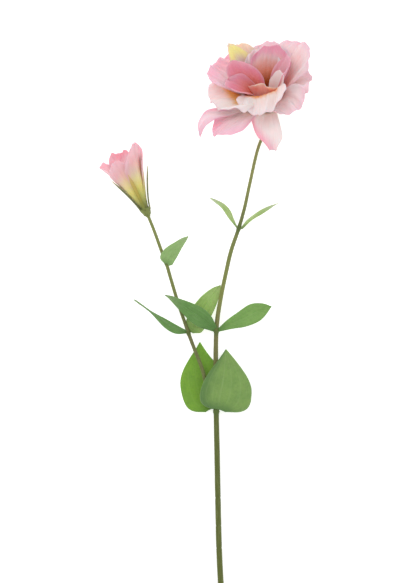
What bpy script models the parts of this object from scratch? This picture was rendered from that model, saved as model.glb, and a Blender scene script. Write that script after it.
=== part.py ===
"""A cut spray of lisianthus (Eustoma grandiflorum), lying on a table.

One stem forks into a flowering shoot with a wide open double bloom and a side shoot with a
half open bud. Leaves without stalks sit at the nodes. +Z is up from the table, +Y runs from
the cut end towards the flowers, and X runs across. Sizes are in millimetres from the middle
of the cut end, and everything is moved at the end so that the origin is the middle of the
spray's footprint on the table.
"""

import math

import bmesh
import bpy
import numpy as np
from mathutils import Matrix, Vector

MM = 0.001

# Blades: petals, sepals and leaves.
PETAL_THICKNESS = 0.8
SEPAL_THICKNESS = 0.7
LEAF_THICKNESS = 0.8
PETAL_GRID = (7, 9)  # rows from claw to rim, columns across
BUD_PETAL_GRID = (6, 7)
SEPAL_GRID = (6, 3)
LEAF_GRID = (9, 5)
BROAD_LEAF_GRID = (13, 7)  # for leaves whose base reaches back by more than BROAD_LOBE
BROAD_LOBE = 10.0
PRESS = 1.5  # how softly a blade bends where the table flattens it

# What all petals share, along their length (0 claw, 1 rim) and across them (0 middle, 1 edge).
CLAW_HEIGHT = 1.5  # above the receptacle
ARC_STEPS = 120  # short straight steps that the middle line is added up from
CORNER_POWER = 2.6  # the higher, the squarer the corners
WIDENS = (0.02, 0.75)
NARROWS = (0.75, 1.0)
TWISTS = (0.0, 0.4)
RIM_WAVES = (0.45, 1.0)  # along the length: where the rim's waves grow
SIDE_WAVES = 0.6  # size of the waves down the sides, to those of the rim
SIDE_ACROSS = (0.6, 1.0)
SIDE_ALONG = (0.25, 0.7)
LESS_WAVE = 0.5  # a second, smaller wave: its size, rate, phase and drift along the petal
LESS_WAVE_RATE = 1.7
LESS_WAVE_PHASE = 2.3
LESS_WAVE_DRIFT = 4.0
FLATTEST = 1e-3  # least wrap, in radians, that an arc is worked out for

# What all leaves share.
TANGENT_STEP = 0.01  # share of the midrib over which its direction is taken
KEEL_ROUNDING = 1.0  # how softly the two halves meet at the midrib
WAVE_LAG = 1.5  # how much later a leaf's right edge waves than its midrib, in radians
LOBE_POWER = 3  # the higher, the nearer to the base the leaf reaches back

# Stems: stations every STEM_STEP along them, and closer round each swelling or groove.
STEM_STEP = 10.0
ROUTE_POINTS = 2001  # points of the smooth route that the stations are read from
KEEP_CLEAR = 1.3  # no other station is nearer a swelling or groove than this, in half lengths
TOP_STATION = 3.0  # how far below its top a stem has its last station but one
NODE_SWELL = 0.28  # share by which a node is thicker than the stem
NODE_HALF_LENGTH = 2.6
GROOVE_DEPTH = 0.12
GROOVE_HALF_LENGTH = 0.9

# Main stem and side shoot: x, y, z and radius of points on their centre lines.
MAIN_STEM = (
    (0.0, 0.0, 2.3, 2.3),
    (-2.4, 46.6, 2.7, 2.25),
    (-3.5, 90.6, 3.4, 2.2),
    (-4.4, 139.0, 4.6, 2.15),
    (-5.1, 172.5, 5.8, 2.1),
    (-5.5, 209.4, 7.4, 1.9),
    (-5.0, 243.8, 9.2, 1.85),
    (-1.9, 268.4, 10.6, 1.8),
    (4.0, 297.4, 12.2, 1.75),
    (8.2, 315.0, 13.2, 1.75),
    (15.0, 334.4, 13.6, 1.6),
    (20.2, 352.0, 13.0, 1.4),
    (24.6, 372.2, 11.0, 1.35),
    (31.2, 401.3, 6.6, 1.3),
    (36.4, 416.5, 4.4, 1.35),
    (39.4, 425.0, 4.2, 1.45),
    (40.3, 430.6, 5.8, 1.5),
    (40.2, 433.7, 8.2, 1.6),
)
SIDE_SHOOT = (
    (-5.3, 174.0, 6.0, 1.7),
    (-12.3, 190.0, 7.2, 1.6),
    (-17.3, 209.4, 8.2, 1.5),
    (-24.1, 227.0, 9.0, 1.45),
    (-29.7, 242.0, 9.6, 1.4),
    (-33.4, 253.4, 10.2, 1.25),
    (-39.2, 271.0, 11.0, 1.25),
    (-44.4, 288.6, 11.8, 1.2),
    (-48.8, 303.6, 12.4, 1.2),
    (-53.2, 315.0, 12.8, 1.2),
    (-59.8, 332.6, 13.2, 1.15),
    (-64.9, 344.7, 13.4, 1.2),
)
MAIN_NODES = (172.5, 243.8, 334.4)  # where leaves grow, by y
MAIN_GROOVES = (51.5, 71.3, 96.0)
SIDE_NODES = (242.0, 303.6)

# A flower's place: its receptacle, the tilt of its axis up from the table, and its lean to
# the left. Its petals rise from a short tube, in a calyx.
BLOOM = {
    "base": (40.2, 434.0, 8.5),
    "tilt": 35.0,
    "lean": 3.0,
    "tube_radius": 5.4,
    "tube_bore": 3.4,
    "tube_height": 9.0,
}
BUD = {
    "base": (-65.0, 345.0, 13.5),
    "tilt": 5.0,
    "lean": 24.0,
    "tube_radius": 3.1,
    "tube_bore": 1.2,
    "tube_height": 9.0,
}
TUBE_FLOOR = 3.0  # height of the floor inside either tube
TUBE_FOOT = 0.87  # share of its radius that a tube has at its foot


def petal(azimuth, length, width, angles, wrap=(60, 45, 10), twist=8, ruffle=2.0, waves=2.5,
          phase=0.0, sway=0.0, corner=0.28, tip=0.85, start=4.4, claw=0.2, skew=0.0):
    """One petal. Angles are those between its middle line and the flower's axis, from claw to
    rim; wrap is how far each half bends round the axis, at claw, middle and rim. Degrees."""
    return locals()


BLOOM_PETALS = (
    # Outermost: bent back over the calyx.
    petal(224, 66, 19, (36, 78, 96, 104), (50, 30, -10), 6, 1.6, 1.5, 0.5, 0, 0.35, 0.85, 4.8,
          claw=0.3),
    petal(207, 82, 8, (36, 84, 80, 206), (50, 30, -35), 6, 1.0, 1.5, 0.5, 4, start=4.8, claw=0.5),
    petal(262, 54, 15, (26, 86, 128, 150), (50, 30, -35), -6, 1.4, 1.5, 2.0, 7, 0.12, 0.5, 4.8,
          claw=0.44, skew=0.45),
    # Outer whorl.
    petal(260, 64, 23, (14, 24, 86, 132), (35, 32, 5), 14, 1.8, 3.0, 0.3, start=4.8),
    petal(202, 62, 28, (20, 50, 78, 104), (50, 36, 0), 2, 2.0, 3.0, 1.3, start=5.0),
    petal(304, 51, 22, (18, 36, 80, 116), (50, 40, 10), 6, 2.0, 2.5, 2.1, start=5.0),
    petal(15, 51, 24, (18, 38, 56, 76), (50, 40, 5), 8, 2.0, 3.0, 0.9, start=5.2),
    petal(41, 70, 26, (16, 30, 46, 62), (50, 40, 0), 0, 1.8, 3.0, 2.2, 0, 0.3, start=5.0),
    petal(80, 63, 24, (18, 32, 38, 48), (50, 40, 0), 4, 1.2, 2.5, 1.2, start=5.2),
    petal(120, 65, 18, (16, 30, 38, 46), (50, 40, 5), -4, 1.0, 2.5, 3.1, skew=0.1, start=5.0),
    petal(148, 68, 15, (14, 28, 38, 46), (50, 40, 20), -14, 0.8, 1.5, 0.2, start=4.8),
    petal(166, 70, 20, (18, 38, 54, 62), (50, 40, 0), -6, 2.0, 3.0, 0.2, start=5.0),
    # Middle whorl.
    petal(70, 61, 20, (8, 16, 26, 16), (60, 50, 40), 8, 0.9, 2.0, 0.4, 0, 0.22),
    petal(100, 58, 19, (10, 18, 26, 28), (60, 50, 20), -6, 1.0, 2.5, 1.9, start=4.4),
    petal(162, 58, 16, (8, 22, 34, 26), (60, 50, 40), -55, 0.8, 2.0, 2.6, skew=0.2, start=4.0),
    petal(16, 58, 11, (8, 16, 26, 12), (60, 55, 50), 8, 1.0, 2.0, 0.8, start=4.0),
    petal(236, 40, 15, (6, 14, 20, 28), (60, 50, 10), 8, 1.5, 2.0, 1.0, start=3.6),
    petal(197, 56, 14, (8, 30, 56, 58), (60, 50, 20), -16, 1.2, 2.0, 2.0, start=4.0),
    # Innermost.
    petal(348, 46, 9, (6, 12, 16, 10), (60, 40, 20), 50, 0.2, 1.5, 0.7, 0, 0.3, 1.0, start=3.4),
)
BUD_PETALS = (
    petal(244, 57, 15, (8, 17, 20, 28), (95, 80, 30), 12, 1.0, 1.5, 0.4, 0, 0.3, 0.8, 2.3, 0.3),
    petal(315, 65, 15, (8, 16, 16, 22), (95, 80, 35), 12, 1.0, 1.5, 1.4, 0, 0.3, 0.8, 2.3, 0.28),
    petal(30, 65, 15, (8, 15, 15, 20), (95, 80, 40), 12, 1.0, 1.5, 2.4, 0, 0.3, 0.8, 2.3, 0.3),
    petal(106, 65, 16, (8, 17, 20, 30), (95, 80, 40), 12, 1.0, 1.5, 0.9, 0, 0.3, 0.8, 2.3, 0.26),
    petal(150, 61, 16, (8, 18, 22, 50), (95, 80, 20), 4, 1.2, 1.5, 1.9, 0, 0.3, 0.9, 2.2, 0.24),
    petal(70, 61, 11, (4, 6, 10, 10), (80, 80, 80), 16, 0.6, 1.0, 0.3, 0, 0.3, 0.8, 1.7),
    petal(250, 52, 9, (4, 6, 8, 5), (80, 80, 90), 16, 0.6, 1.0, 1.3, 0, 0.3, 0.8, 1.7),
)


def leaf(midrib, widths, roll=(0, 0), fold=14, droop=0.9, wave=0.5, waves=1.5, lobe=0.0,
         uneven=0.0):
    """One leaf: its midrib from base to tip, its full widths at even steps along it, its roll
    about the midrib and its fold in degrees, how far its base reaches back, and by what share
    its right half is the wider one."""
    return locals()


# Where each leaf grows, and how it lies.
LEAVES = {
    "leaf_low_right": leaf(
        ((-4.0, 174.6, 9.3), (-1.6, 187.0, 12.2), (0.8, 199.0, 13.4), (2.4, 212.0, 13.0),
         (3.5, 227.5, 11.6)),
        (12, 30, 41, 45, 44.5, 42, 36.5, 29, 20, 10.5, 0.4), fold=7, droop=1.3, wave=0.8,
        lobe=14, uneven=0.22),
    "leaf_low_left": leaf(
        ((-8.6, 174.6, 2.4), (-12.8, 189.0, -0.8), (-16.5, 203.0, -2.2), (-18.6, 217.0, -1.6),
         (-19.6, 233.5, 3.0)),
        (12, 28, 38.5, 42, 42, 40, 35, 27.5, 18.5, 9, 0.4), fold=4, droop=0.9, wave=0.7,
        lobe=14, uneven=-0.06),
    "leaf_middle_left": leaf(
        ((-7.3, 246.0, 11.1), (-15.0, 252.5, 15.0), (-23.0, 258.4, 17.0), (-31.0, 263.8, 17.6),
         (-38.5, 268.7, 16.6), (-44.5, 272.6, 14.8), (-50.2, 275.4, 12.4)),
        (4.5, 14.0, 15.5, 12.0, 7.5, 4.0, 0.3), roll=(8, 4, 0, -6), fold=16, wave=0.5),
    "leaf_middle_right": leaf(
        ((-1.9, 245.0, 10.6), (8.0, 250.2, 14.4), (18.5, 254.6, 16.4), (28.4, 259.6, 16.0),
         (36.4, 263.0, 13.8), (43.6, 265.2, 10.8)),
        (2.2, 10.0, 15.5, 17.0, 11.0, 0.3), roll=(-6, 0, 6, 4), fold=15, wave=0.5),
    "leaf_upper_left": leaf(
        ((12.4, 336.0, 14.4), (8.6, 342.3, 17.4), (5.0, 348.8, 19.0), (0.7, 353.8, 19.2),
         (-4.5, 357.4, 18.0), (-10.4, 360.6, 15.6)),
        (2.4, 6.8, 8.4, 7.2, 4.2, 0.3), roll=(48, 52, 46, 40), fold=18, wave=0.4),
    "leaf_upper_right": leaf(
        ((18.8, 335.8, 14.4), (22.9, 340.4, 17.6), (28.4, 344.5, 19.4), (35.4, 348.9, 19.6),
         (42.4, 352.8, 18.2), (49.6, 356.2, 15.6)),
        (2.4, 6.8, 7.6, 6.2, 3.8, 0.3), roll=(-50, -52, -50, -44), fold=18, wave=0.4),
    "shoot_leaf_low_left": leaf(
        ((-32.3, 243.0, 10.6), (-39.0, 244.6, 13.8), (-46.4, 248.6, 15.6), (-55.0, 254.8, 15.6),
         (-63.6, 261.4, 14.0), (-70.6, 266.6, 12.0), (-77.4, 271.2, 9.8)),
        (2.8, 9.0, 11.5, 10.0, 6.5, 3.8, 0.3), roll=(20, 42, 60, 66), fold=18, wave=0.6),
    "shoot_leaf_low_right": leaf(
        ((-26.3, 243.6, 7.4), (-21.8, 252.8, 7.7), (-16.2, 263.0, 8.0), (-10.4, 271.8, 7.4),
         (-5.4, 278.8, 6.6), (-1.2, 284.0, 5.8)),
        (3, 14, 18, 18.5, 17.5, 15.5, 12.5, 9, 5, 0.3), roll=(-4, -4, 0, 0), fold=12,
        wave=0.5, lobe=9),
    "shoot_leaf_upper": leaf(
        ((-48.0, 302.6, 14.9), (-45.6, 308.8, 16.6), (-42.0, 314.4, 17.4), (-37.8, 319.4, 17.2),
         (-33.6, 323.6, 16.2), (-29.8, 327.0, 14.6)),
        (5, 13.0, 14.0, 13.0, 10.5, 8.0, 4.5, 0.3), roll=(14, 10, 6, 0), fold=15, wave=0.4,
        lobe=5, uneven=-0.28),
}

# Calyx: a cup, then narrow sepals that start in its wall. Rows of the profile are radius and
# height, down the outside, and then up the inside of the cup.
BLOOM_CALYX = {
    "profile": ((0.0, 1.1), (6.5, 1.1), (8.2, 3.6), (9.0, 3.6), (7.7, 1.5), (4.6, 0.3),
                (2.0, 0.0), (0.0, 0.0)),
    "azimuths": (-18, 52, 124, 196, 292),
    "sepal": petal(0, 16, 2.2, (36, 56, 70, 80), (10, 14, 16), 0, 0, 1, start=8.0,
                   claw=0.75, corner=0.0, tip=0.2),
    "sepal_height": 2.6,
}
BUD_CALYX = {
    "profile": ((0.0, 1.1), (3.1, 1.1), (4.3, 7.0), (4.9, 7.0), (3.9, 3.0), (2.6, 0.8),
                (1.4, 0.0), (0.0, 0.0)),
    "azimuths": (-8, 64, 141, 202, 266),
    "sepal": petal(0, 38, 1.7, (10, 20, 24, 26), (20, 16, 16), 0, 0, 1, start=4.2,
                   claw=0.8, corner=0.0, tip=0.2),
    "sepal_height": 5.2,
}

# The pistil and the stamens deep in the bloom's throat: radius and height.
PISTIL_PROFILE = ((0.0, 21.0), (1.3, 20.6), (1.9, 19.2), (1.5, 18.2), (0.7, 17.4), (0.7, 11.5),
                  (1.6, 9.6), (2.1, 7.2), (2.0, 4.6), (1.4, 3.3), (0.0, 3.3))
STAMEN_AZIMUTHS = (10, 82, 154, 226, 298)
STAMEN_LINE = ((4.0, 6.5, 0.6), (4.0, 10.0, 0.55), (4.2, 13.5, 0.45))  # out, up and radius
ANTHER_SIZE = (0.95, 0.95, 1.9)  # half of each
ANTHER_RISE = 1.0  # from the end of its filament to its middle
ANTHER_SEGMENTS = (8, 6)  # round and up
PISTIL_STEPS, TUBE_STEPS, CUP_STEPS = 12, 16, 20  # sides of the turned parts
MERGE = 1e-5  # metres within which a turned part's poles are merged
WELD = 1e-7  # metres within which points are one


def smooth(low, high, x):
    """0 below low, 1 above high, and a smooth step between."""
    t = np.clip((x - low) / (high - low), 0, 1)
    return t * t * (3 - 2 * t)


def through(values, t):
    """A smooth curve through values at even steps of t from 0 to 1 (Catmull-Rom)."""
    values = np.asarray(values, float)
    spans = len(values) - 1
    padded = np.concatenate([[2 * values[0] - values[1]], values, [2 * values[-1] - values[-2]]])
    place = np.clip(np.asarray(t, float), 0, 1) * spans
    i = np.minimum(place.astype(int), spans - 1)
    f = (place - i).reshape(place.shape + (1,) * (values.ndim - 1))
    a, b, c, d = padded[i], padded[i + 1], padded[i + 2], padded[i + 3]
    return 0.5 * (2 * b + (c - a) * f + (2 * a - 5 * b + 4 * c - d) * f**2
                  + (3 * b - 3 * c + d - a) * f**3)


def petal_surface(p, u, v):
    """Points of petal p, in its flower's own axes. u runs from claw to rim and v from -1 to 1
    across. The axis is Z, azimuth 0 is X, and azimuth 90 is the side that faces the table."""
    s = u * (1 - p["corner"] * np.abs(v) ** CORNER_POWER + p["skew"] * v)
    s = np.minimum(s, 1.0)
    fine = np.linspace(0, 1, ARC_STEPS + 1)
    lean = np.radians(through(p["angles"], fine))
    middle = (lean[1:] + lean[:-1]) / 2
    step = p["length"] / ARC_STEPS
    rise = np.concatenate([[0], np.cumsum(np.cos(middle) * step)])
    run = np.concatenate([[0], np.cumsum(np.sin(middle) * step)])
    height = CLAW_HEIGHT + np.interp(s, fine, rise)
    radius = p["start"] + np.interp(s, fine, run)
    lean = np.interp(s, fine, lean)
    half = p["width"] * (p["claw"] + (1 - p["claw"]) * smooth(*WIDENS, s))
    half = half * (1 - (1 - p["tip"]) * smooth(*NARROWS, s))
    wrap = np.radians(through(p["wrap"], s))
    wrap = np.where(np.abs(wrap) < FLATTEST, FLATTEST, wrap)
    bend = wrap / half
    across = np.sin(wrap * v) / bend
    inward = (1 - np.cos(wrap * v)) / bend
    sides = smooth(*SIDE_ACROSS, np.abs(v)) * smooth(*SIDE_ALONG, u)
    ruffled = smooth(*RIM_WAVES, u) + SIDE_WAVES * sides
    wave = np.sin(math.pi * p["waves"] * v + p["phase"])
    less = np.sin(math.pi * LESS_WAVE_RATE * p["waves"] * v + LESS_WAVE_PHASE * p["phase"]
                  + LESS_WAVE_DRIFT * u)
    inward = inward + p["ruffle"] * ruffled * (wave + LESS_WAVE * less)
    turn = np.radians(p["twist"]) * smooth(*TWISTS, s)
    side = across * np.cos(turn) - inward * np.sin(turn)
    inward = across * np.sin(turn) + inward * np.cos(turn)
    out = radius - inward * np.cos(lean)
    up = height + inward * np.sin(lean)
    azimuth = np.radians(p["azimuth"] + p["sway"] * s**2)
    return np.stack([out * np.cos(azimuth) - side * np.sin(azimuth),
                     out * np.sin(azimuth) + side * np.cos(azimuth), up], axis=-1)


def flower_matrix(flower):
    """From a flower's own axes, in millimetres, to the spray's."""
    lean, tilt = math.radians(flower["lean"]), math.radians(flower["tilt"])
    to_table = Vector((-math.sin(lean) * math.sin(tilt), math.cos(lean) * math.sin(tilt),
                       -math.cos(tilt)))
    axis = Vector((-math.sin(lean) * math.cos(tilt), math.cos(lean) * math.cos(tilt),
                   math.sin(tilt)))
    turned = Matrix((to_table.cross(axis), to_table, axis)).transposed().to_4x4()
    return Matrix.Translation(Vector(flower["base"])) @ turned


def placed(points, matrix):
    """Points, an array, moved by a matrix."""
    m = np.array(matrix)
    return points @ m[:3, :3].T + m[:3, 3]


def pressed(points, thickness):
    """Points of a blade's middle surface, bent up where the table would be in the way."""
    low = thickness / 2
    over = points[:, 2] - low
    blend = (over + PRESS) ** 2 / (4 * PRESS)
    height = np.where(over < -PRESS, 0.0, np.where(over > PRESS, over, blend))
    return np.column_stack([points[:, :2], low + height])


def blade(name, grid, surface, thickness, material):
    """A closed blade: surface(u, v) on a grid of rows and columns, given its thickness."""
    rows, columns = grid
    mesh = bpy.data.meshes.new(name)
    cage = bmesh.new()
    bmesh.ops.create_grid(cage, x_segments=columns - 1, y_segments=rows - 1, size=1.0)
    flat = np.array([vertex.co[:] for vertex in cage.verts])
    points = pressed(surface((flat[:, 1] + 1) / 2, flat[:, 0]), thickness)
    for vertex, point in zip(cage.verts, points):
        vertex.co = point * MM
    bmesh.ops.triangulate(cage, faces=cage.faces)
    cage.to_mesh(mesh)
    cage.free()
    mesh.shade_smooth()
    mesh.materials.append(material)
    obj = bpy.data.objects.new(name, mesh)
    solidify = obj.modifiers.new("Thickness", "SOLIDIFY")
    solidify.thickness = thickness * MM
    solidify.offset = 0
    solidify.use_even_offset = False
    return obj


def material(name, colour, roughness):
    made = bpy.data.materials.new(name)
    made.use_nodes = True
    shader = made.node_tree.nodes["Principled BSDF"]
    shader.inputs["Base Color"].default_value = (*colour, 1)
    shader.inputs["Roughness"].default_value = roughness
    shader.inputs["Metallic"].default_value = 0.0
    return made


def turned(name, profile, matrix, steps, material):
    """A solid of revolution from (radius, height) points that run down its outer side."""
    mesh = bpy.data.meshes.new(name)
    mesh.from_pydata([(r * MM, 0, h * MM) for r, h in profile],
                     [(i, i + 1) for i in range(len(profile) - 1)], [])
    mesh.materials.append(material)
    obj = bpy.data.objects.new(name, mesh)
    screw = obj.modifiers.new("Turn", "SCREW")
    screw.steps = screw.render_steps = steps
    screw.use_merge_vertices = True
    screw.merge_threshold = MERGE
    moved = matrix.copy()
    moved.translation = moved.translation * MM
    obj.matrix_world = moved
    return obj


def as_mesh(obj):
    """Object obj with its modifiers or its curve made plain mesh, in world coordinates."""
    name = obj.name
    bpy.context.scene.collection.objects.link(obj)
    bpy.context.view_layer.update()
    evaluated = obj.evaluated_get(bpy.context.evaluated_depsgraph_get())
    mesh = bpy.data.meshes.new_from_object(evaluated)
    mesh.transform(obj.matrix_world)
    bpy.data.objects.remove(obj)
    welded = bmesh.new()
    welded.from_mesh(mesh)
    bmesh.ops.remove_doubles(welded, verts=welded.verts, dist=WELD)
    welded.to_mesh(mesh)
    welded.free()
    return bpy.data.objects.new(name, mesh)


def main_body(mesh):
    """Keep a mesh's largest closed body: no sealed hollow and no loose scrap stays."""
    cage = bmesh.new()
    cage.from_mesh(mesh)
    left, bodies = set(cage.faces), []
    while left:
        found, edge = [], [left.pop()]
        while edge:
            face = edge.pop()
            found.append(face)
            near = {other for side in face.edges for other in side.link_faces} & left
            left -= near
            edge.extend(near)
        bodies.append(found)
    bodies.sort(key=lambda faces: sum(face.calc_area() for face in faces))
    scraps = [face for body in bodies[:-1] for face in body]
    bmesh.ops.delete(cage, geom=scraps, context="FACES")
    cage.to_mesh(mesh)
    cage.free()


def fused(core, pieces, collection):
    """One solid: the core with all of the pieces, which it takes in."""
    name = core.name
    gathered = bpy.data.collections.new(name + "_pieces")
    bpy.context.scene.collection.children.link(gathered)
    for piece in pieces:
        gathered.objects.link(piece)
    collection.objects.link(core)
    union = core.modifiers.new("Join", "BOOLEAN")
    union.operation = "UNION"
    union.solver = "MANIFOLD"
    union.operand_type = "COLLECTION"
    union.collection = gathered
    bpy.context.view_layer.update()
    evaluated = core.evaluated_get(bpy.context.evaluated_depsgraph_get())
    mesh = bpy.data.meshes.new_from_object(evaluated)
    main_body(mesh)
    for obj in [*gathered.objects, core]:
        bpy.data.objects.remove(obj)
    bpy.data.collections.remove(gathered)
    joined = bpy.data.objects.new(name, mesh)
    collection.objects.link(joined)
    return joined


def rod(name, stations, material):
    """A round rod through stations of x, y, z and radius, as a curve with its ends filled."""
    curve = bpy.data.curves.new(name, "CURVE")
    curve.dimensions = "3D"
    curve.bevel_depth = MM
    curve.bevel_resolution = 2
    curve.use_fill_caps = True
    spline = curve.splines.new("POLY")
    spline.points.add(len(stations) - 1)
    for point, (x, y, z, radius) in zip(spline.points, stations):
        point.co = (x * MM, y * MM, z * MM, 1)
        point.radius = radius
    curve.materials.append(material)
    return bpy.data.objects.new(name, curve)


def stem_stations(route, nodes, grooves):
    """Points along a stem, by y, with its nodes swollen and its grooves cut in."""
    fine = np.linspace(0, 1, ROUTE_POINTS)
    line = through(route, fine)
    start, end = line[0, 1], line[-1, 1]
    places = list(np.linspace(start, end, round((end - start) / STEM_STEP) + 1))
    places.append(end - TOP_STATION)
    for middle, half in [(y, NODE_HALF_LENGTH) for y in nodes] + [
            (y, GROOVE_HALF_LENGTH) for y in grooves]:
        near = [y for y in places if abs(y - middle) > KEEP_CLEAR * half or y in (start, end)]
        places = near + [y for y in (middle - half, middle, middle + half) if start < y < end]
    places.sort()
    stations = np.column_stack([np.interp(places, line[:, 1], line[:, i]) for i in range(4)])
    for row in stations:
        for middle in nodes:
            row[3] *= 1 + NODE_SWELL * max(0, 1 - abs(row[1] - middle) / NODE_HALF_LENGTH)
        for middle in grooves:
            row[3] *= 1 - GROOVE_DEPTH * max(0, 1 - abs(row[1] - middle) / GROOVE_HALF_LENGTH)
    return stations


def make_stem(collection, green):
    main = as_mesh(rod("stem", stem_stations(MAIN_STEM, MAIN_NODES, MAIN_GROOVES), green))
    side = as_mesh(rod("side", stem_stations(SIDE_SHOOT, SIDE_NODES, ()), green))
    return fused(main, [side], collection)


def leaf_surface(leaf, u, v):
    """Points of a leaf. u runs along its midrib from base to tip and v across, -1 to 1."""
    line = np.array(leaf["midrib"], float)
    ahead = through(line, np.minimum(u + TANGENT_STEP, 1.0))
    behind = through(line, np.maximum(u - TANGENT_STEP, 0.0))
    along = ahead - behind
    along /= np.linalg.norm(along, axis=1)[:, None]
    side = np.cross(along, (0, 0, 1))
    side /= np.linalg.norm(side, axis=1)[:, None]
    normal = np.cross(side, along)
    roll = np.radians(through(leaf["roll"], u))[:, None]
    side, normal = (side * np.cos(roll) + normal * np.sin(roll),
                    normal * np.cos(roll) - side * np.sin(roll))
    half = np.maximum(through(leaf["widths"], u) / 2, 0.0)
    across = half * (v + leaf["uneven"] * v**2)
    slope = math.tan(math.radians(leaf["fold"]))
    lift = slope * (np.sqrt(across**2 + KEEL_ROUNDING**2) - KEEL_ROUNDING)
    lift = lift * np.cos(math.pi / 2 * leaf["droop"] * v**2)
    lift = lift + leaf["wave"] * np.sin(2 * math.pi * leaf["waves"] * u + WAVE_LAG * v) * v**2
    back = leaf["lobe"] * (v * half / half.max()) ** 2 * (1 - u) ** LOBE_POWER
    points = through(line, u) + side * across[:, None] + normal * lift[:, None]
    return points - along * back[:, None]


def make_leaves(collection, greens):
    for name, spec in LEAVES.items():
        grid = BROAD_LEAF_GRID if spec["lobe"] > BROAD_LOBE else LEAF_GRID
        made = blade(name, grid, lambda u, v, spec=spec: leaf_surface(spec, u, v),
                     LEAF_THICKNESS, greens[name])
        collection.objects.link(made)


def flower_blades(name, petals, grid, thickness, matrix, colour):
    """One closed blade for each petal, placed with its flower."""
    return [as_mesh(blade(f"{name}_{i}", grid,
                          lambda u, v, p=p: placed(petal_surface(p, u, v), matrix),
                          thickness, colour)) for i, p in enumerate(petals)]


def make_tube(name, flower, matrix, colour):
    """The short tube that a flower's petals grow from, with a floor."""
    outer, bore, top = flower["tube_radius"], flower["tube_bore"], flower["tube_height"]
    profile = ((0.0, TUBE_FLOOR), (bore, TUBE_FLOOR), (bore, top), (outer, top),
               (TUBE_FOOT * outer, CLAW_HEIGHT), (0.0, CLAW_HEIGHT))
    return as_mesh(turned(name, profile, matrix, TUBE_STEPS, colour))


def make_stamens(matrix, colour):
    made = []
    for azimuth in STAMEN_AZIMUTHS:
        cos, sin = math.cos(math.radians(azimuth)), math.sin(math.radians(azimuth))
        line = [(*(matrix @ Vector((out * cos, out * sin, up))), radius)
                for out, up, radius in STAMEN_LINE]
        made.append(as_mesh(rod("filament", line, colour)))
        out, up, _ = STAMEN_LINE[-1]
        anther = bmesh.new()
        bmesh.ops.create_uvsphere(anther, u_segments=ANTHER_SEGMENTS[0],
                                 v_segments=ANTHER_SEGMENTS[1], radius=1.0)
        for vertex in anther.verts:
            grown = Vector(a * b for a, b in zip(vertex.co, ANTHER_SIZE))
            vertex.co = (matrix @ (grown + Vector((out * cos, out * sin, up + ANTHER_RISE)))) * MM
        mesh = bpy.data.meshes.new("anther")
        anther.to_mesh(mesh)
        anther.free()
        made.append(bpy.data.objects.new("anther", mesh))
    return made


def make_calyx(name, calyx, matrix, collection, colour):
    cup = as_mesh(turned(name, calyx["profile"], matrix, CUP_STEPS, colour))
    sepals = [{**calyx["sepal"], "azimuth": azimuth} for azimuth in calyx["azimuths"]]
    raised = matrix @ Matrix.Translation((0, 0, calyx["sepal_height"] - CLAW_HEIGHT))
    fused(cup, flower_blades(name, sepals, SEPAL_GRID, SEPAL_THICKNESS, raised, colour),
          collection)


def make_flower(name, flower, petals, grid, extras, collection, colour):
    matrix = flower_matrix(flower)
    tube = make_tube(name, flower, matrix, colour)
    blades = flower_blades(name, petals, grid, PETAL_THICKNESS, matrix, colour)
    fused(tube, blades + extras, collection)


def centre(collection):
    """Move everything so that the origin is the middle of the footprint, on the table."""
    bpy.context.view_layer.update()
    corners = [obj.matrix_world @ Vector(corner)
               for obj in collection.objects for corner in obj.bound_box]
    low = Vector(min(c[i] for c in corners) for i in range(3))
    high = Vector(max(c[i] for c in corners) for i in range(3))
    shift = Vector((-(low.x + high.x) / 2, -(low.y + high.y) / 2, -low.z))
    for obj in collection.objects:
        obj.data.transform(Matrix.Translation(shift))


def main():
    for obj in list(bpy.data.objects):
        bpy.data.objects.remove(obj)
    collection = bpy.data.collections.new("lisianthus")
    bpy.context.scene.collection.children.link(collection)

    stem_green = material("stem", (0.17, 0.21, 0.07), 0.6)
    leaf_green = material("leaf", (0.16, 0.30, 0.08), 0.6)
    pale_green = material("young leaf", (0.36, 0.50, 0.22), 0.6)
    sepal_green = material("sepal", (0.16, 0.20, 0.06), 0.6)
    pink = material("petal", (0.83, 0.55, 0.60), 0.7)
    bud_pink = material("bud petal", (0.80, 0.50, 0.42), 0.7)
    pistil_green = material("pistil", (0.45, 0.50, 0.12), 0.5)
    young = ("leaf_upper_left", "leaf_upper_right", "shoot_leaf_low_right")

    make_stem(collection, stem_green)
    make_leaves(collection, {name: pale_green if name in young else leaf_green
                             for name in LEAVES})
    bloom = flower_matrix(BLOOM)
    make_flower("bloom_petals", BLOOM, BLOOM_PETALS, PETAL_GRID, make_stamens(bloom, pink),
                collection, pink)
    make_calyx("bloom_calyx", BLOOM_CALYX, bloom, collection, sepal_green)
    pistil = as_mesh(turned("bloom_pistil", PISTIL_PROFILE, bloom, PISTIL_STEPS, pistil_green))
    collection.objects.link(pistil)
    make_flower("bud_petals", BUD, BUD_PETALS, BUD_PETAL_GRID, [], collection, bud_pink)
    make_calyx("bud_calyx", BUD_CALYX, flower_matrix(BUD), collection, sepal_green)
    centre(collection)


main()
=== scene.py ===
"""The looks of a cut lisianthus spray: its fine petals, leaves and stems and their finishes.

Sizes are in millimetres from the middle of the cut end, as the model's maker laid it out: X to
the right, Y from the cut end to the flowers and Z up from the table. Colours are sRGB, 0 to 255.
"""
import math

import bmesh
import bpy
import numpy as np
from mathutils import Matrix, Vector


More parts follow.
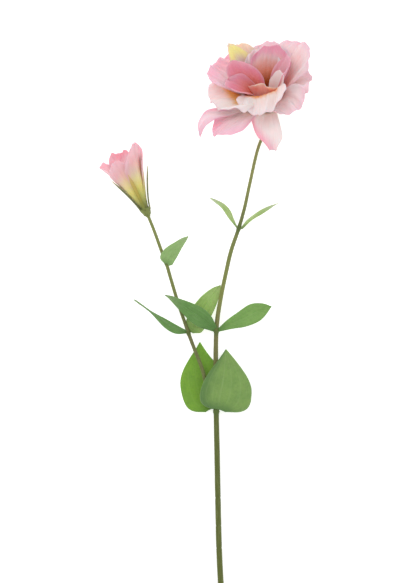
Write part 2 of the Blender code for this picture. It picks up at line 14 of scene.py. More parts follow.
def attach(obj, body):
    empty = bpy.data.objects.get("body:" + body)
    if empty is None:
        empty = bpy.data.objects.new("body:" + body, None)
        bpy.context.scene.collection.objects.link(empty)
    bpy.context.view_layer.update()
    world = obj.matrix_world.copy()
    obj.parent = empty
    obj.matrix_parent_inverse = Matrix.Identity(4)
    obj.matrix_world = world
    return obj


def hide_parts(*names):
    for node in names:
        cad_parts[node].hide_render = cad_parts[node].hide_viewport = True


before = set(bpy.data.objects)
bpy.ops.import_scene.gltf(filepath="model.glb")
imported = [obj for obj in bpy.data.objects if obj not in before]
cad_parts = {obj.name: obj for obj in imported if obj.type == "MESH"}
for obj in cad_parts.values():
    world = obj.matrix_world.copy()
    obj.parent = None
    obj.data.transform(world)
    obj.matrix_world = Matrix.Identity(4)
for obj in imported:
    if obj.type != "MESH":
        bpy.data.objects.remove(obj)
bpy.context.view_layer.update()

MM = 0.001

# ---- sizes of the fine surfaces
PETAL_THICKNESS = 0.34
SEPAL_THICKNESS = 0.6
LEAF_THICKNESS = 0.5
PETAL_GRID = (46, 73)  # rows from claw to rim, columns across
SEPAL_GRID = (40, 9)
LEAF_GRID = (61, 33)
TABLE_CLEARANCE = 0.15
PRESS = 1.5  # how softly a blade bends where the table flattens it

# What all petals share, along their length (0 claw, 1 rim) and across them (0 middle, 1 edge).
CLAW_HEIGHT = 1.5  # above the receptacle
ARC_STEPS = 120  # short straight steps of the middle line
CORNER_POWER = 2.6  # the higher, the squarer the corners
WIDENS = (0.02, 0.75)
NARROWS = (0.75, 1.0)
TWISTS = (0.0, 0.4)
RIM_WAVES = (0.45, 1.0)  # where the rim's waves grow
SIDE_WAVES = 0.6  # size of the sides' waves, to the rim's
SIDE_ACROSS = (0.6, 1.0)
SIDE_ALONG = (0.25, 0.7)
LESS_WAVE = 0.5  # a second wave: its size, rate, phase and drift along the petal
LESS_WAVE_RATE = 1.7
LESS_WAVE_PHASE = 2.3
LESS_WAVE_DRIFT = 4.0
FLATTEST = 1e-3  # least wrap, in radians

# Fine relief, in mm. Cells are the noise's along a blade and across half of it, and its start.
NOISE_CELLS = 32  # after which the noise repeats
PETAL_SEED = 100
PETAL_SEED_STEP = 7
LEAF_SEED = 40
MARGIN = 0.018  # uneven share of a petal's length
MARGIN_CELLS = (0, 6, 11)
MARGIN_GROWS = (0.5, 1.0)
FRILLS = 0.4
FRILL_RATE = 2.1
FRILL_PHASE = 3.1
FRILL_DRIFT = 2.4
FRILL_CELLS = (2, 3, 9)
FRILLS_GROW = (0.7, 1.0)
FRILLS_ALONG = (0.3, 0.7)
PLEATS = 0.22
PLEAT_RATE = 0.42  # for each mm of half width
PLEAT_DRIFT = 2.0
PLEAT_CELLS = (1.5, 2.5, 5)
PLEATS_GROW = (0.1, 0.5)
CRUMPLES = 0.45
CRUMPLE_CELLS = (5, 4, 7)
CRUMPLES_GROW = (0.15, 0.6)
FULL_WIDTH = 20  # half width from which a petal has its full relief
KEEL_HEIGHT = 0.35
KEEL_WIDTH = 0.3  # share of half the sepal's width
RELIEF_ENDS = (0.8, 1.0)  # along a leaf or sepal

# What all leaves share, in mm.
TANGENT_STEP = 0.01  # share of the midrib over which its direction is taken
KEEL_ROUNDING = 1.0  # how softly the two halves meet at the midrib
WAVE_LAG = 1.5  # how much later a leaf's right edge waves than its midrib, in radians
LOBE_POWER = 3  # the higher, the nearer to the base the leaf reaches back
SEAT_POWER = 9  # the same for how the leaf sinks into the stem
NARROWEST = 0.3  # least half width that a vein is worked out for
RIB_DEPTH = 0.3
RIB_WIDTH = 0.55
LEAF_VEINS = (0.34, 0.66)  # side veins, as shares of half the leaf's width
VEIN_DEPTH = 0.12
VEIN_WIDTH = 0.5
SWELLS = 0.22
SWELL_CELLS = (9, 5, 8)
SWELL_WIDTH = 6  # half width from which the swells are full

# Stems: x, y, z and radius.
MAIN_STEM = (
    (0, 0, 2.6, 2.6), (-2.4, 46.6, 2.9, 2.55), (-3.5, 90.6, 3.5, 2.5),
    (-4.4, 139, 4.6, 2.45), (-5.1, 172.5, 5.8, 2.35), (-5.5, 209.4, 7.4, 2.15),
    (-5, 243.8, 9.2, 2), (-1.9, 268.4, 10.6, 1.9), (4, 297.4, 12.2, 1.8),
    (8.2, 315, 13.2, 1.8), (14.8, 334.4, 13.6, 1.65), (19.8, 352, 13, 1.52),
    (24.2, 372.2, 11, 1.47), (30.8, 401.3, 6.6, 1.42), (36.2, 416.5, 4.4, 1.42),
    (39.4, 425, 4.2, 1.48), (40.3, 430.6, 5.8, 1.5), (40.2, 433.7, 8.2, 1.6),
)
SIDE_SHOOT = (
    (-5.3, 174, 6, 1.75), (-12.3, 190, 7.2, 1.7), (-17.3, 209.4, 8.2, 1.65),
    (-24.1, 227, 9, 1.6), (-29.7, 242, 9.6, 1.6), (-33.6, 253.4, 10.2, 1.5),
    (-39.5, 271, 11, 1.5), (-44.8, 288.6, 11.8, 1.5), (-49.2, 303.6, 12.4, 1.5),
    (-53.6, 315, 12.8, 1.45), (-60, 332.6, 13.2, 1.4), (-64.9, 344.7, 13.4, 1.3),
)
MAIN_NODES = (172.5, 243.8, 334.4)
MAIN_GROOVES = (51.5, 71.3, 96)
SIDE_NODES = (242, 303.6)
NODE_SWELL = 0.26
NODE_HALF_LENGTH = 2.6
GROOVE_DEPTH = 0.12
GROOVE_HALF_LENGTH = 0.9
CHANGE_ENDS = 1.2  # where a swelling or groove ends, in half lengths
STEM_STEP = 0.9
ROUTE_POINTS = 2001  # of the smooth route that the stations are read from
RIBS = 5  # round a stem, with heights as shares of its radius and lengths in mm
RIB_HEIGHT = 0.022
RIB_SWAY = 0.6  # radians
RIB_SWAY_LENGTH = 60
LINES = 17
LINE_HEIGHT = 0.008
LINE_LENGTH = 40
BARK_HEIGHT = 0.02
BARK_LENGTH = 9
BARK_START = 4
END_DEPTH = 0.0004  # metres: the ring of the cut end lies within this of the lowest Y

BLOOM = {"base": (40.2, 434, 8.5), "tilt": 35, "lean": 3}
BUD = {"base": (-65, 345, 13.5), "tilt": 5, "lean": 24}


def petal(azimuth, length, width, angles, wrap=(60, 45, 10), twist=8, ruffle=2, waves=2.5,
          phase=0, sway=0, corner=0.28, tip=0.85, start=5, claw=0.2, skew=0,
          look="pale"):
    """One petal. Angles are those between its middle line and the flower's axis, from claw to
    rim; wrap is how far each half bends round the axis, at claw, middle and rim. Degrees."""
    return locals()


BLOOM_PETALS = (
    # Outermost: bent back over the calyx.
    petal(224, 66, 19, (36, 78, 96, 104), (50, 30, -10), 6, 1.6, 1.5, 0.5, 0, 0.35, 0.85, 4.8,
          claw=0.3, look="pink"),
    petal(207, 82, 8, (36, 84, 80, 206), (50, 30, -35), 6, 1, 1.5, 0.5, 4, start=4.8, claw=0.5,
          look="pink"),
    petal(262, 54, 14, (26, 86, 128, 150), (50, 30, -35), -6, 1.4, 1.5, 2, 7, 0.12, 0.5, 4.8,
          claw=0.62, skew=0.36, look="hanging"),
    # Outer whorl.
    petal(261, 64, 24, (12, 23, 88, 122), (35, 32, 5), 16, 1.8, 3, 0.3, look="lip"),
    petal(202, 59, 34, (20, 50, 78, 104), (50, 36, 0), 2, 2, 3, 1.3, look="scoop"),
    petal(304, 51, 22, (18, 36, 80, 116), (50, 40, 10), 13, 2, 2.5, 2.1, look="blush"),
    petal(15, 51, 24, (18, 38, 56, 76), (50, 40, 5), 8, 2, 3, 0.9, start=5.2, look="blush"),
    petal(41, 70, 26, (16, 30, 46, 62), (50, 40, 0), 0, 1.8, 3, 2.2, 0, 0.3),
    petal(81, 63, 23, (18, 32, 38, 48), (50, 40, 0), 3, 1.2, 2.5, 1.2, start=5.2),
    petal(120, 65, 18, (16, 30, 38, 46), (50, 40, 5), -4, 1, 2.5, 3.1, skew=0.1, look="peach"),
    petal(139, 70, 10, (14, 28, 38, 46), (50, 40, 20), -14, 0.8, 1.5, 0.2, start=4.8, claw=0.5,
          look="yellow"),
    petal(158, 64, 25, (20, 44, 58, 62), (50, 40, 0), -6, 2, 3, 0.2, 0, 0.12, look="pink"),
    # Middle whorl.
    petal(70, 61, 20, (8, 16, 26, 16), (60, 50, 40), 8, 0.9, 2, 0.4, 0, 0.22, start=4.4,
          look="rose"),
    petal(100, 58, 19, (10, 18, 26, 28), (60, 50, 20), -6, 1, 2.5, 1.9, start=4.4, look="dusky"),
    petal(162, 58, 16, (8, 22, 34, 26), (60, 50, 40), -55, 0.8, 2, 2.6, skew=0.2, start=4,
          look="swirl"),
    petal(16, 58, 11, (8, 16, 26, 12), (60, 55, 50), 8, 1, 2, 0.8, start=4, look="fold"),
    petal(236, 38, 19, (4, 10, 14, 22), (60, 50, 10), 8, 1.3, 2, 1, 0, 0.36, start=4.2, skew=0.08,
          look="coral"),
    petal(197, 56, 14, (8, 30, 56, 58), (60, 50, 20), -16, 1.2, 2, 2, start=4, look="swirl"),
    # Innermost.
    petal(348, 46, 9, (6, 12, 16, 10), (60, 40, 20), 50, 0.2, 1.5, 0.7, 0, 0.3, 1, start=3.4,
          look="small"),
)
BUD_PETALS = (
    petal(244, 57, 15, (8, 17, 20, 28), (95, 80, 30), 12, 1, 1.5, 0.4, 0, 0.3, 0.8, 2.3, 0.3,
          look="bud"),
    petal(315, 65, 15, (8, 16, 16, 22), (95, 80, 35), 12, 1, 1.5, 1.4, 0, 0.3, 0.8, 2.3, 0.28,
          look="bud"),
    petal(30, 65, 15, (8, 15, 15, 20), (95, 80, 40), 12, 1, 1.5, 2.4, 0, 0.3, 0.8, 2.3, 0.3,
          look="bud"),
    petal(106, 65, 16, (8, 17, 20, 30), (95, 80, 40), 12, 1, 1.5, 0.9, 0, 0.3, 0.8, 2.3, 0.26,
          look="bud"),
    petal(145, 62, 16, (8, 18, 21, 44), (95, 80, 20), 4, 1.2, 1.5, 1.9, 0, 0.3, 0.9, 2.2, 0.24,
          look="bud"),
    petal(70, 61, 11, (4, 6, 10, 10), (80, 80, 80), 16, 0.6, 1, 0.3, 0, 0.3, 0.8, 1.7,
          look="bud_heart"),
    petal(250, 52, 9, (4, 6, 8, 5), (80, 80, 90), 16, 0.6, 1, 1.3, 0, 0.3, 0.8, 1.7,
          look="bud_heart"),
)


def leaf(midrib, widths, roll=(0, 0), fold=14, droop=0.9, wave=0.5, waves=1.5, lobe=0,
         uneven=0, seat=0, look="leaf"):
    """One leaf: its midrib from base to tip, its full widths at even steps along it, its roll
    about the midrib and its fold in degrees, how far its base reaches back, by what share
    its right half is the wider one, and how far its base sinks into the stem."""
    return locals()


LEAVES = {
    "leaf_low_right": leaf(
        ((-4, 174.6, 9.3), (-1.6, 187, 12.2), (0.8, 199, 13.4), (2.4, 212, 13),
         (3.5, 227.5, 11.6)),
        (12, 30, 41, 45, 44.5, 42, 36.5, 29, 20, 10.5, 0.4), fold=7, droop=1.3, wave=0.8,
        lobe=14, uneven=0.22, look="heart"),
    "leaf_low_left": leaf(
        ((-8.6, 174.6, 2.4), (-12.8, 189, -0.8), (-16.5, 203, -2.2), (-18.6, 217, -1.6),
         (-19.6, 233.5, 3)),
        (12, 28, 38.5, 42, 42, 40, 35, 27.5, 18.5, 9, 0.4), fold=4, wave=0.7, lobe=14,
        uneven=-0.06, look="heart_left"),
    "leaf_middle_left": leaf(
        ((-7.3, 246, 11.1), (-15, 252.5, 15), (-23, 258.4, 17), (-31, 263.8, 17.6),
         (-38.5, 268.7, 16.6), (-44.5, 272.6, 14.8), (-50.2, 275.4, 12.4)),
        (4.5, 14, 15.5, 12, 7.5, 4, 0.3), roll=(8, 4, 0, -6), fold=16, seat=2.4, look="dark"),
    "leaf_middle_right": leaf(
        ((-1.9, 245, 10.6), (8, 250.2, 14.4), (18.5, 254.6, 16.4), (28.4, 259.6, 16),
         (36.4, 263, 13.8), (43.6, 265.2, 10.8)),
        (2.2, 9.4, 14.8, 17, 11, 0.3), roll=(-6, 0, 6, 4), fold=15, seat=2.6),
    "leaf_upper_left": leaf(
        ((12.4, 336, 14.4), (8.6, 342.3, 17.4), (5, 348.8, 19), (0.7, 353.8, 19.2),
         (-4.5, 357.4, 18), (-10.4, 360.6, 15.6)),
        (2, 4.8, 6.8, 6.4, 4, 0.3), roll=(48, 52, 46, 40), fold=18, wave=0.4, seat=2.6,
        look="young"),
    "leaf_upper_right": leaf(
        ((18.8, 335.8, 14.4), (22.9, 340.4, 17.6), (28.4, 344.5, 19.4), (35.4, 348.9, 19.6),
         (42.4, 352.8, 18.2), (49.6, 356.2, 15.6)),
        (2, 4.8, 5.8, 5, 3.2, 0.3), roll=(-50, -52, -50, -44), fold=18, wave=0.4,
        seat=3.4, look="young"),
    "shoot_leaf_low_left": leaf(
        ((-32.3, 243, 10.6), (-39, 244.6, 13.8), (-46.4, 248.6, 15.6), (-55, 254.8, 15.6),
         (-63.6, 261.4, 14), (-70.6, 266.6, 12), (-77.4, 271.2, 9.8)),
        (2.6, 8, 9.4, 7.6, 4.8, 2.8, 0.3), roll=(20, 42, 60, 66), fold=18, wave=0.6,
        seat=2.4, look="dark"),
    "shoot_leaf_low_right": leaf(
        ((-26.3, 243.6, 7.4), (-21.8, 252.8, 7.7), (-16.2, 263, 8), (-10.4, 271.8, 7.4),
         (-5.4, 278.8, 6.6), (-1.2, 284, 5.8)),
        (3, 14, 18, 18.5, 17.5, 15.5, 12.5, 9, 5, 0.3), roll=(-4, -4, 0, 0), fold=12,
        wave=0.5, lobe=9, seat=1.5, look="spring"),
    "shoot_leaf_upper": leaf(
        ((-48, 302.6, 14.9), (-45.4, 308.4, 16.6), (-41.6, 313.6, 17.4), (-37.4, 318.6, 17.2),
         (-33.4, 323.1, 16.2), (-29.8, 327, 14.6)),
        (5, 12.6, 13.2, 11.4, 8.6, 6.4, 3.8, 0.3), roll=(14, 10, 6, 0), fold=15, wave=0.4,
        lobe=5, uneven=-0.28, look="upper"),
}
LEAF_SLOTS = {"young": "young_leaf", "spring": "young_leaf"}  # of looks; others are "leaf"

BLOOM_CALYX = {
    "profile": ((0, 1.1), (5.6, 1.1), (6.8, 3.2), (7.4, 3.2), (6.6, 1.2), (4.2, -0.4),
                (2, -1.2), (0, -1.2)),
    "azimuths": (10, 60, 124, 196, 292),
    "sepal": petal(0, 16, 2.2, (36, 56, 70, 80), (10, 14, 16), 0, 0, 1, start=6.6,
                   claw=0.75, corner=0, tip=0.2),
    "sepal_height": 2.6,
    "finishes": ("green",) * 5,
}
BUD_CALYX = {
    "profile": ((0, 1.1), (3.1, 1.1), (4.3, 7), (4.9, 7), (3.8, 3.4), (2.5, 1),
                (1.5, -1), (0, -1.2)),
    "azimuths": (-8, 64, 141, 202, 266),
    "sepal": petal(0, 38, 1.6, (10, 20, 24, 26), (20, 16, 16), 0, 0, 1, start=4.2,
                   claw=0.8, corner=0, tip=0.2),
    "sepal_height": 5.2,
    "finishes": ("dark",) * 4 + ("gold",),
}
# Profiles, as radius and height from the flower's base.
BLOOM_TUBE = ((0, 3), (3.4, 3), (3.4, 9), (3.8, 9.6), (5, 9.6), (5.4, 9), (5.4, 1.5), (0, 1.5))
BUD_TUBE = ((0, 3), (1.2, 3), (1.2, 9), (1.6, 9.5), (2.8, 9.5), (3.1, 9), (2.7, 1.5), (0, 1.5))
PISTIL = ((0, 3.3), (1.4, 3.3), (2, 4.6), (2.1, 7.2), (1.6, 9.6), (0.8, 11.5), (0.65, 14.5),
          (0.7, 17.4), (1.5, 18.2), (1.9, 19.2), (1.75, 20), (1.3, 20.6), (0, 21))
STAMEN_AZIMUTHS = (10, 82, 154, 226, 298)
STAMEN_LINE = ((4, 6.5, 0.55), (4, 10, 0.45), (4.2, 13.5, 0.35))  # out, up and radius
ANTHER_SIZE = (0.95, 0.95, 1.9)  # half of each
ANTHER_SEAM = 0.22  # a share of its size
ANTHER_SEAM_WIDTH = 0.22
ANTHER_RISE = 1
PROFILE_STEPS = 4  # for each point of a profile
ON_AXIS = 0.02  # a smaller radius is a point on the axis
RIDGES = 5
UV_MAP = "blade"

# ---- colours
# Stops of a colour are each a place along the piece and an sRGB colour.
def petal_look(inner, outer, edge, edge_width, edge_strength, edge_side=0, rim_width=0):
    """A petal's colours from claw to rim, and its edge's colour, width and strength. edge_side,
    -1 or 1, puts the edge on one side only, and rim_width gives it another width at the rim."""
    return locals()


CLAW = (222, 196, 130)
DEEP_CLAW = (214, 160, 90)
LIP_BACK = ((0, *CLAW), (0.35, 238, 214, 204), (0.8, 242, 220, 222), (1, 240, 204, 212))
PETAL_LOOKS = {
    "pale": petal_look(
        ((0, 196, 106, 74), (0.32, 244, 140, 124), (0.5, 244, 174, 168), (0.66, 240, 204, 203),
         (1, 243, 220, 225)),
        ((0, *CLAW), (0.35, 236, 206, 192), (1, 242, 220, 223)),
        (243, 194, 210), 0.12, 0.7),
    "small": petal_look(
        ((0, 200, 120, 80), (0.3, 236, 166, 150), (0.5, 248, 220, 218), (1, 252, 236, 236)),
        ((0, *CLAW), (0.35, 246, 220, 214), (1, 250, 230, 232)),
        (252, 226, 230), 0.12, 0.5),
    "blush": petal_look(
        ((0, 200, 120, 80), (0.3, 238, 164, 148), (0.5, 246, 204, 202), (0.68, 243, 220, 221),
         (1, 242, 222, 226)),
        ((0, *CLAW), (0.35, 236, 204, 192), (1, 240, 208, 215)),
        (242, 190, 208), 0.2, 0.55),
    "lip": petal_look(
        ((0, 190, 100, 40), (0.42, 226, 134, 40), (0.58, 234, 152, 70), (0.7, 240, 214, 208),
         (1, 243, 226, 228)),
        LIP_BACK, (240, 208, 215), 0.08, 0.5),
    "scoop": petal_look(
        ((0, 190, 110, 50), (0.46, 246, 172, 74), (0.64, 249, 190, 110), (0.74, 243, 222, 215),
         (1, 243, 226, 227)),
        LIP_BACK, (240, 208, 215), 0.08, 0.5),
    "pink": petal_look(
        ((0, 232, 182, 146), (0.4, 250, 230, 226), (0.62, 243, 221, 224), (0.85, 246, 204, 217),
         (1, 247, 200, 215)),
        ((0, *CLAW), (0.35, 238, 208, 202), (0.7, 241, 194, 206), (1, 243, 176, 198)),
        (247, 186, 206), 0.2, 0.65),
    "hanging": petal_look(
        ((0, 255, 242, 234), (0.35, 250, 238, 236), (0.7, 243, 230, 230), (1, 242, 226, 228)),
        ((0, *CLAW), (0.3, 239, 214, 204), (0.75, 242, 222, 223), (1, 241, 200, 211)),
        (244, 166, 188), 0.36, 0.9, edge_side=-1),
    "peach": petal_look(
        ((0, 150, 78, 40), (0.35, 206, 132, 112), (0.55, 224, 182, 174), (0.8, 236, 208, 202),
         (1, 245, 214, 192)),
        ((0, *CLAW), (0.35, 238, 214, 196), (1, 244, 208, 188)),
        (246, 216, 192), 0.14, 0.8),
    "yellow": petal_look(
        ((0, 190, 110, 60), (0.4, 214, 158, 144), (0.62, 222, 188, 182), (0.76, 230, 200, 188),
         (0.85, 246, 226, 156), (0.92, 250, 235, 150), (1, 249, 236, 170)),
        ((0, 222, 200, 120), (0.5, 246, 226, 150), (1, 246, 216, 180)),
        (232, 204, 188), 0.4, 1.0, rim_width=0.05),
    "rose": petal_look(
        ((0, 116, 50, 4), (0.34, 156, 72, 8), (0.48, 194, 98, 34), (0.62, 232, 138, 114),
         (0.74, 236, 166, 158), (0.84, 236, 190, 192), (0.92, 230, 168, 186), (1, 228, 160, 182)),
        ((0, *DEEP_CLAW), (0.35, 228, 160, 148), (0.7, 232, 176, 184), (1, 226, 154, 176)),
        (228, 158, 181), 0.14, 0.85),
    "fold": petal_look(
        ((0, 140, 70, 40), (0.4, 212, 120, 100), (0.7, 236, 166, 176), (1, 240, 184, 198)),
        ((0, *DEEP_CLAW), (0.35, 236, 160, 150), (0.7, 240, 180, 192), (1, 238, 176, 192)),
        (240, 176, 194), 0.14, 0.7),
    "dusky": petal_look(
        ((0, 110, 50, 16), (0.34, 150, 72, 30), (0.48, 190, 108, 78), (0.62, 230, 178, 168),
         (0.82, 244, 218, 218), (1, 248, 228, 231)),
        ((0, *DEEP_CLAW), (0.35, 228, 176, 162), (1, 236, 204, 205)),
        (238, 204, 210), 0.1, 0.5),
    "swirl": petal_look(
        ((0, 116, 50, 18), (0.3, 164, 76, 36), (0.46, 212, 104, 76), (0.64, 232, 130, 130),
         (0.86, 230, 144, 166), (1, 232, 168, 186)),
        ((0, *DEEP_CLAW), (0.35, 226, 150, 136), (0.7, 234, 186, 190), (1, 228, 164, 182)),
        (234, 174, 190), 0.1, 0.7),
    "coral": petal_look(
        ((0, 120, 54, 18), (0.3, 166, 84, 40), (0.7, 214, 124, 96), (1, 236, 186, 166)),
        ((0, 255, 206, 170), (0.45, 255, 196, 188), (0.85, 254, 186, 178), (1, 248, 216, 204)),
        (246, 218, 206), 0.08, 0.9),
    "bud": petal_look(
        ((0, 230, 222, 150), (0.5, 250, 236, 200), (0.75, 250, 214, 212), (0.9, 250, 196, 206),
         (1, 247, 168, 186)),
        ((0, 104, 112, 56), (0.16, 146, 152, 80), (0.3, 204, 198, 108), (0.42, 240, 220, 124),
         (0.54, 246, 222, 160), (0.68, 242, 200, 184), (0.8, 238, 186, 190), (1, 246, 200, 208)),
        (246, 190, 202), 0.16, 0.6),
    "bud_heart": petal_look(
        ((0, 200, 180, 110), (0.6, 250, 206, 208), (1, 252, 208, 218)),
        ((0, 120, 130, 66), (0.5, 220, 170, 130), (1, 246, 142, 163)),
        (247, 140, 163), 0.16, 0.6),
}
# A leaf look: base, mottling, veins, dark green (for flecks and for painted shade near the
# stem), tip, underside, and how strong the painted shadow over its left side is.
LEAF_LOOKS = {
    "heart": ((122, 157, 82), (134, 168, 90), (150, 180, 112), (84, 122, 66), (126, 158, 84),
              (150, 176, 124), 0.75),
    "heart_left": ((118, 164, 54), (130, 176, 58), (142, 182, 84), (92, 136, 46),
                   (124, 176, 52), (150, 176, 124), 0),
    "leaf": ((120, 162, 82), (132, 172, 92), (146, 182, 112), (90, 132, 66), (124, 164, 84),
             (150, 176, 124), 0),
    "dark": ((98, 142, 72), (110, 154, 82), (134, 170, 110), (86, 128, 64), (150, 174, 124),
             (156, 180, 130), 0),
    "young": ((182, 204, 132), (168, 194, 118), (200, 214, 160), (110, 138, 78),
              (204, 212, 182), (176, 196, 150), 0),
    "spring": ((166, 196, 116), (152, 186, 98), (186, 208, 142), (112, 146, 70),
               (178, 200, 130), (176, 196, 150), 0.3),
    "upper": ((142, 176, 108), (154, 186, 120), (170, 198, 140), (114, 150, 84),
              (166, 186, 138), (160, 186, 136), 0),
}
STEM_COLOURS = ((0, 96, 104, 46), (0.38, 94, 104, 48), (0.55, 122, 118, 74),
                (0.62, 132, 138, 74), (0.72, 126, 134, 74), (0.78, 114, 118, 72),
                (0.84, 134, 140, 80), (1, 150, 156, 98))
JOINT_COLOUR = (86, 108, 50)
SIDE_COLOURS = ((0, 112, 124, 66), (0.4, 112, 112, 70), (0.6, 122, 130, 70),
                (1, 134, 142, 82))
SEPAL_COLOURS = {
    "dark": ((0, 112, 122, 62), (0.35, 96, 102, 62), (0.7, 112, 118, 80),
             (0.9, 150, 154, 110), (1, 196, 198, 150)),
    "gold": ((0, 114, 124, 62), (0.2, 148, 148, 66), (0.4, 186, 168, 74),
             (0.75, 206, 178, 96), (1, 226, 186, 140)),
}
# A small part's look: its two colours, its roughness and its patches, in cells per metre.
PLAIN_LOOKS = {
    "stem_cut": ((186, 190, 140), (208, 206, 160), 0.7, 900),
    "pistil_green": ((150, 160, 70), (186, 190, 90), 0.5, 400),
    "pollen": ((226, 186, 70), (240, 208, 110), 0.8, 1500),
    "filament": ((226, 214, 150), (236, 226, 176), 0.6, 500),
    "sepal_green": ((116, 126, 62), (134, 144, 76), 0.55, 220),
    "corolla_tube": ((178, 120, 60), (196, 150, 80), 0.6, 300),
    "bud_tube": ((150, 150, 80), (170, 166, 90), 0.6, 300),
}
STREAK_COLOUR = (160, 168, 112)
FLECK_COLOUR = (88, 92, 52)
VEIN_TINT = (240, 218, 222)
# A near-white specked over the petals: painted sparkle, glints of light off their cells.
SPARKLE = (255, 250, 248)

# Noise in the finishes: cells per metre, or across and along a blade.
PETAL_DRIFT_SCALE = 55
PETAL_GRAIN_SCALE = 900
PETAL_VEIN_SCALE = (34, 2, 1)
LEAF_DRIFT_SCALE = 90
LEAF_FLECK_SCALE = 520
LEAF_CELL_SCALE = 700
LEAF_STREAK_SCALE = (30, 5, 1)
STEM_FLECK_SCALE = 500
STEM_STREAK_SCALE = (14, 30, 1)
COLOUR_DRIFT = 0.16  # shares of the length by which noise moves colours
VEIN_DRIFT = 0.12
STEM_DRIFT = 0.06
EDGE_GROWS = (0.35, 0.7)  # along a petal
EDGE_LEAST = 0.45  # share of an edge's strength where it is faintest
RELIEF = 0.0004  # metres
PLAIN_RELIEF = 0.0003


def linear(colour):
    """An sRGB colour, 0 to 255, as linear RGBA."""
    parts = [c / 255 for c in colour]
    parts = [c / 12.92 if c <= 0.04045 else ((c + 0.055) / 1.055) ** 2.4 for c in parts]
    return (*parts, 1.0)


# ---- formulas
def smooth(low, high, x):
    """0 below low, 1 above high, and a smooth step between."""
    t = np.clip((x - low) / (high - low), 0, 1)
    return t * t * (3 - 2 * t)


def through(values, t):
    """A smooth curve through values at even steps of t from 0 to 1 (Catmull-Rom)."""
    values = np.asarray(values, float)
    spans = len(values) - 1
    padded = np.concatenate([[2 * values[0] - values[1]], values, [2 * values[-1] - values[-2]]])
    place = np.clip(np.asarray(t, float), 0, 1) * spans
    i = np.minimum(place.astype(int), spans - 1)
    f = (place - i).reshape(place.shape + (1,) * (values.ndim - 1))
    a, b, c, d = padded[i], padded[i + 1], padded[i + 2], padded[i + 3]
    return 0.5 * (2 * b + (c - a) * f + (2 * a - 5 * b + 4 * c - d) * f**2
                  + (3 * b - 3 * c + d - a) * f**3)


def soft_noise(x, y, seed):
    """Smooth random heights from -1 to 1 over a plane, the same for the same seed."""
    heights = np.random.default_rng(seed).uniform(-1, 1, (NOISE_CELLS, NOISE_CELLS))
    left, low = np.floor(x).astype(int), np.floor(y).astype(int)
    a, b = smooth(0, 1, x - left), smooth(0, 1, y - low)
    left, low = left % NOISE_CELLS, low % NOISE_CELLS
    right, high = (left + 1) % NOISE_CELLS, (low + 1) % NOISE_CELLS
    return ((heights[left, low] * (1 - a) + heights[right, low] * a) * (1 - b)
            + (heights[left, high] * (1 - a) + heights[right, high] * a) * b)


def blade_noise(u, v, cells, seed):
    """Soft noise over a blade, from its cells along, its cells across and its start."""
    along, across, start = cells
    return soft_noise(across * v + start, along * u, seed)


def distances(points):
    """How far along a line of points each of them lies."""
    return np.concatenate([[0], np.cumsum(np.linalg.norm(np.diff(points, axis=0), axis=1))])


def directions(along):
    """Unit vectors at points of a line: along it, level to its side, and above it."""
    along = along / np.linalg.norm(along, axis=1)[:, None]
    side = np.cross(along, (0, 0, 1))
    side = side / np.linalg.norm(side, axis=1)[:, None]
    return along, side, np.cross(side, along)


def petal_detail(p, u, v, seed):
    """How far a petal's fine frills, pleats and crumples move its surface inward, in mm."""
    sides = SIDE_WAVES * smooth(*FRILLS_GROW, np.abs(v)) * smooth(*FRILLS_ALONG, u)
    frills = np.sin(math.pi * FRILL_RATE * p["waves"] * v + FRILL_PHASE * p["phase"]
                    + FRILL_DRIFT * blade_noise(u, v, FRILL_CELLS, seed))
    pleats = np.sin(math.pi * PLEAT_RATE * p["width"] * v
                    + PLEAT_DRIFT * blade_noise(u, v, PLEAT_CELLS, seed + 1))
    crumples = blade_noise(u, v, CRUMPLE_CELLS, seed + 2)
    share = min(1.0, p["width"] / FULL_WIDTH) * min(1.0, p["ruffle"])
    return share * (FRILLS * (smooth(*FRILLS_GROW, u) + sides) * frills
                    + PLEATS * smooth(*PLEATS_GROW, u) * pleats
                    + CRUMPLES * smooth(*CRUMPLES_GROW, u) * crumples)


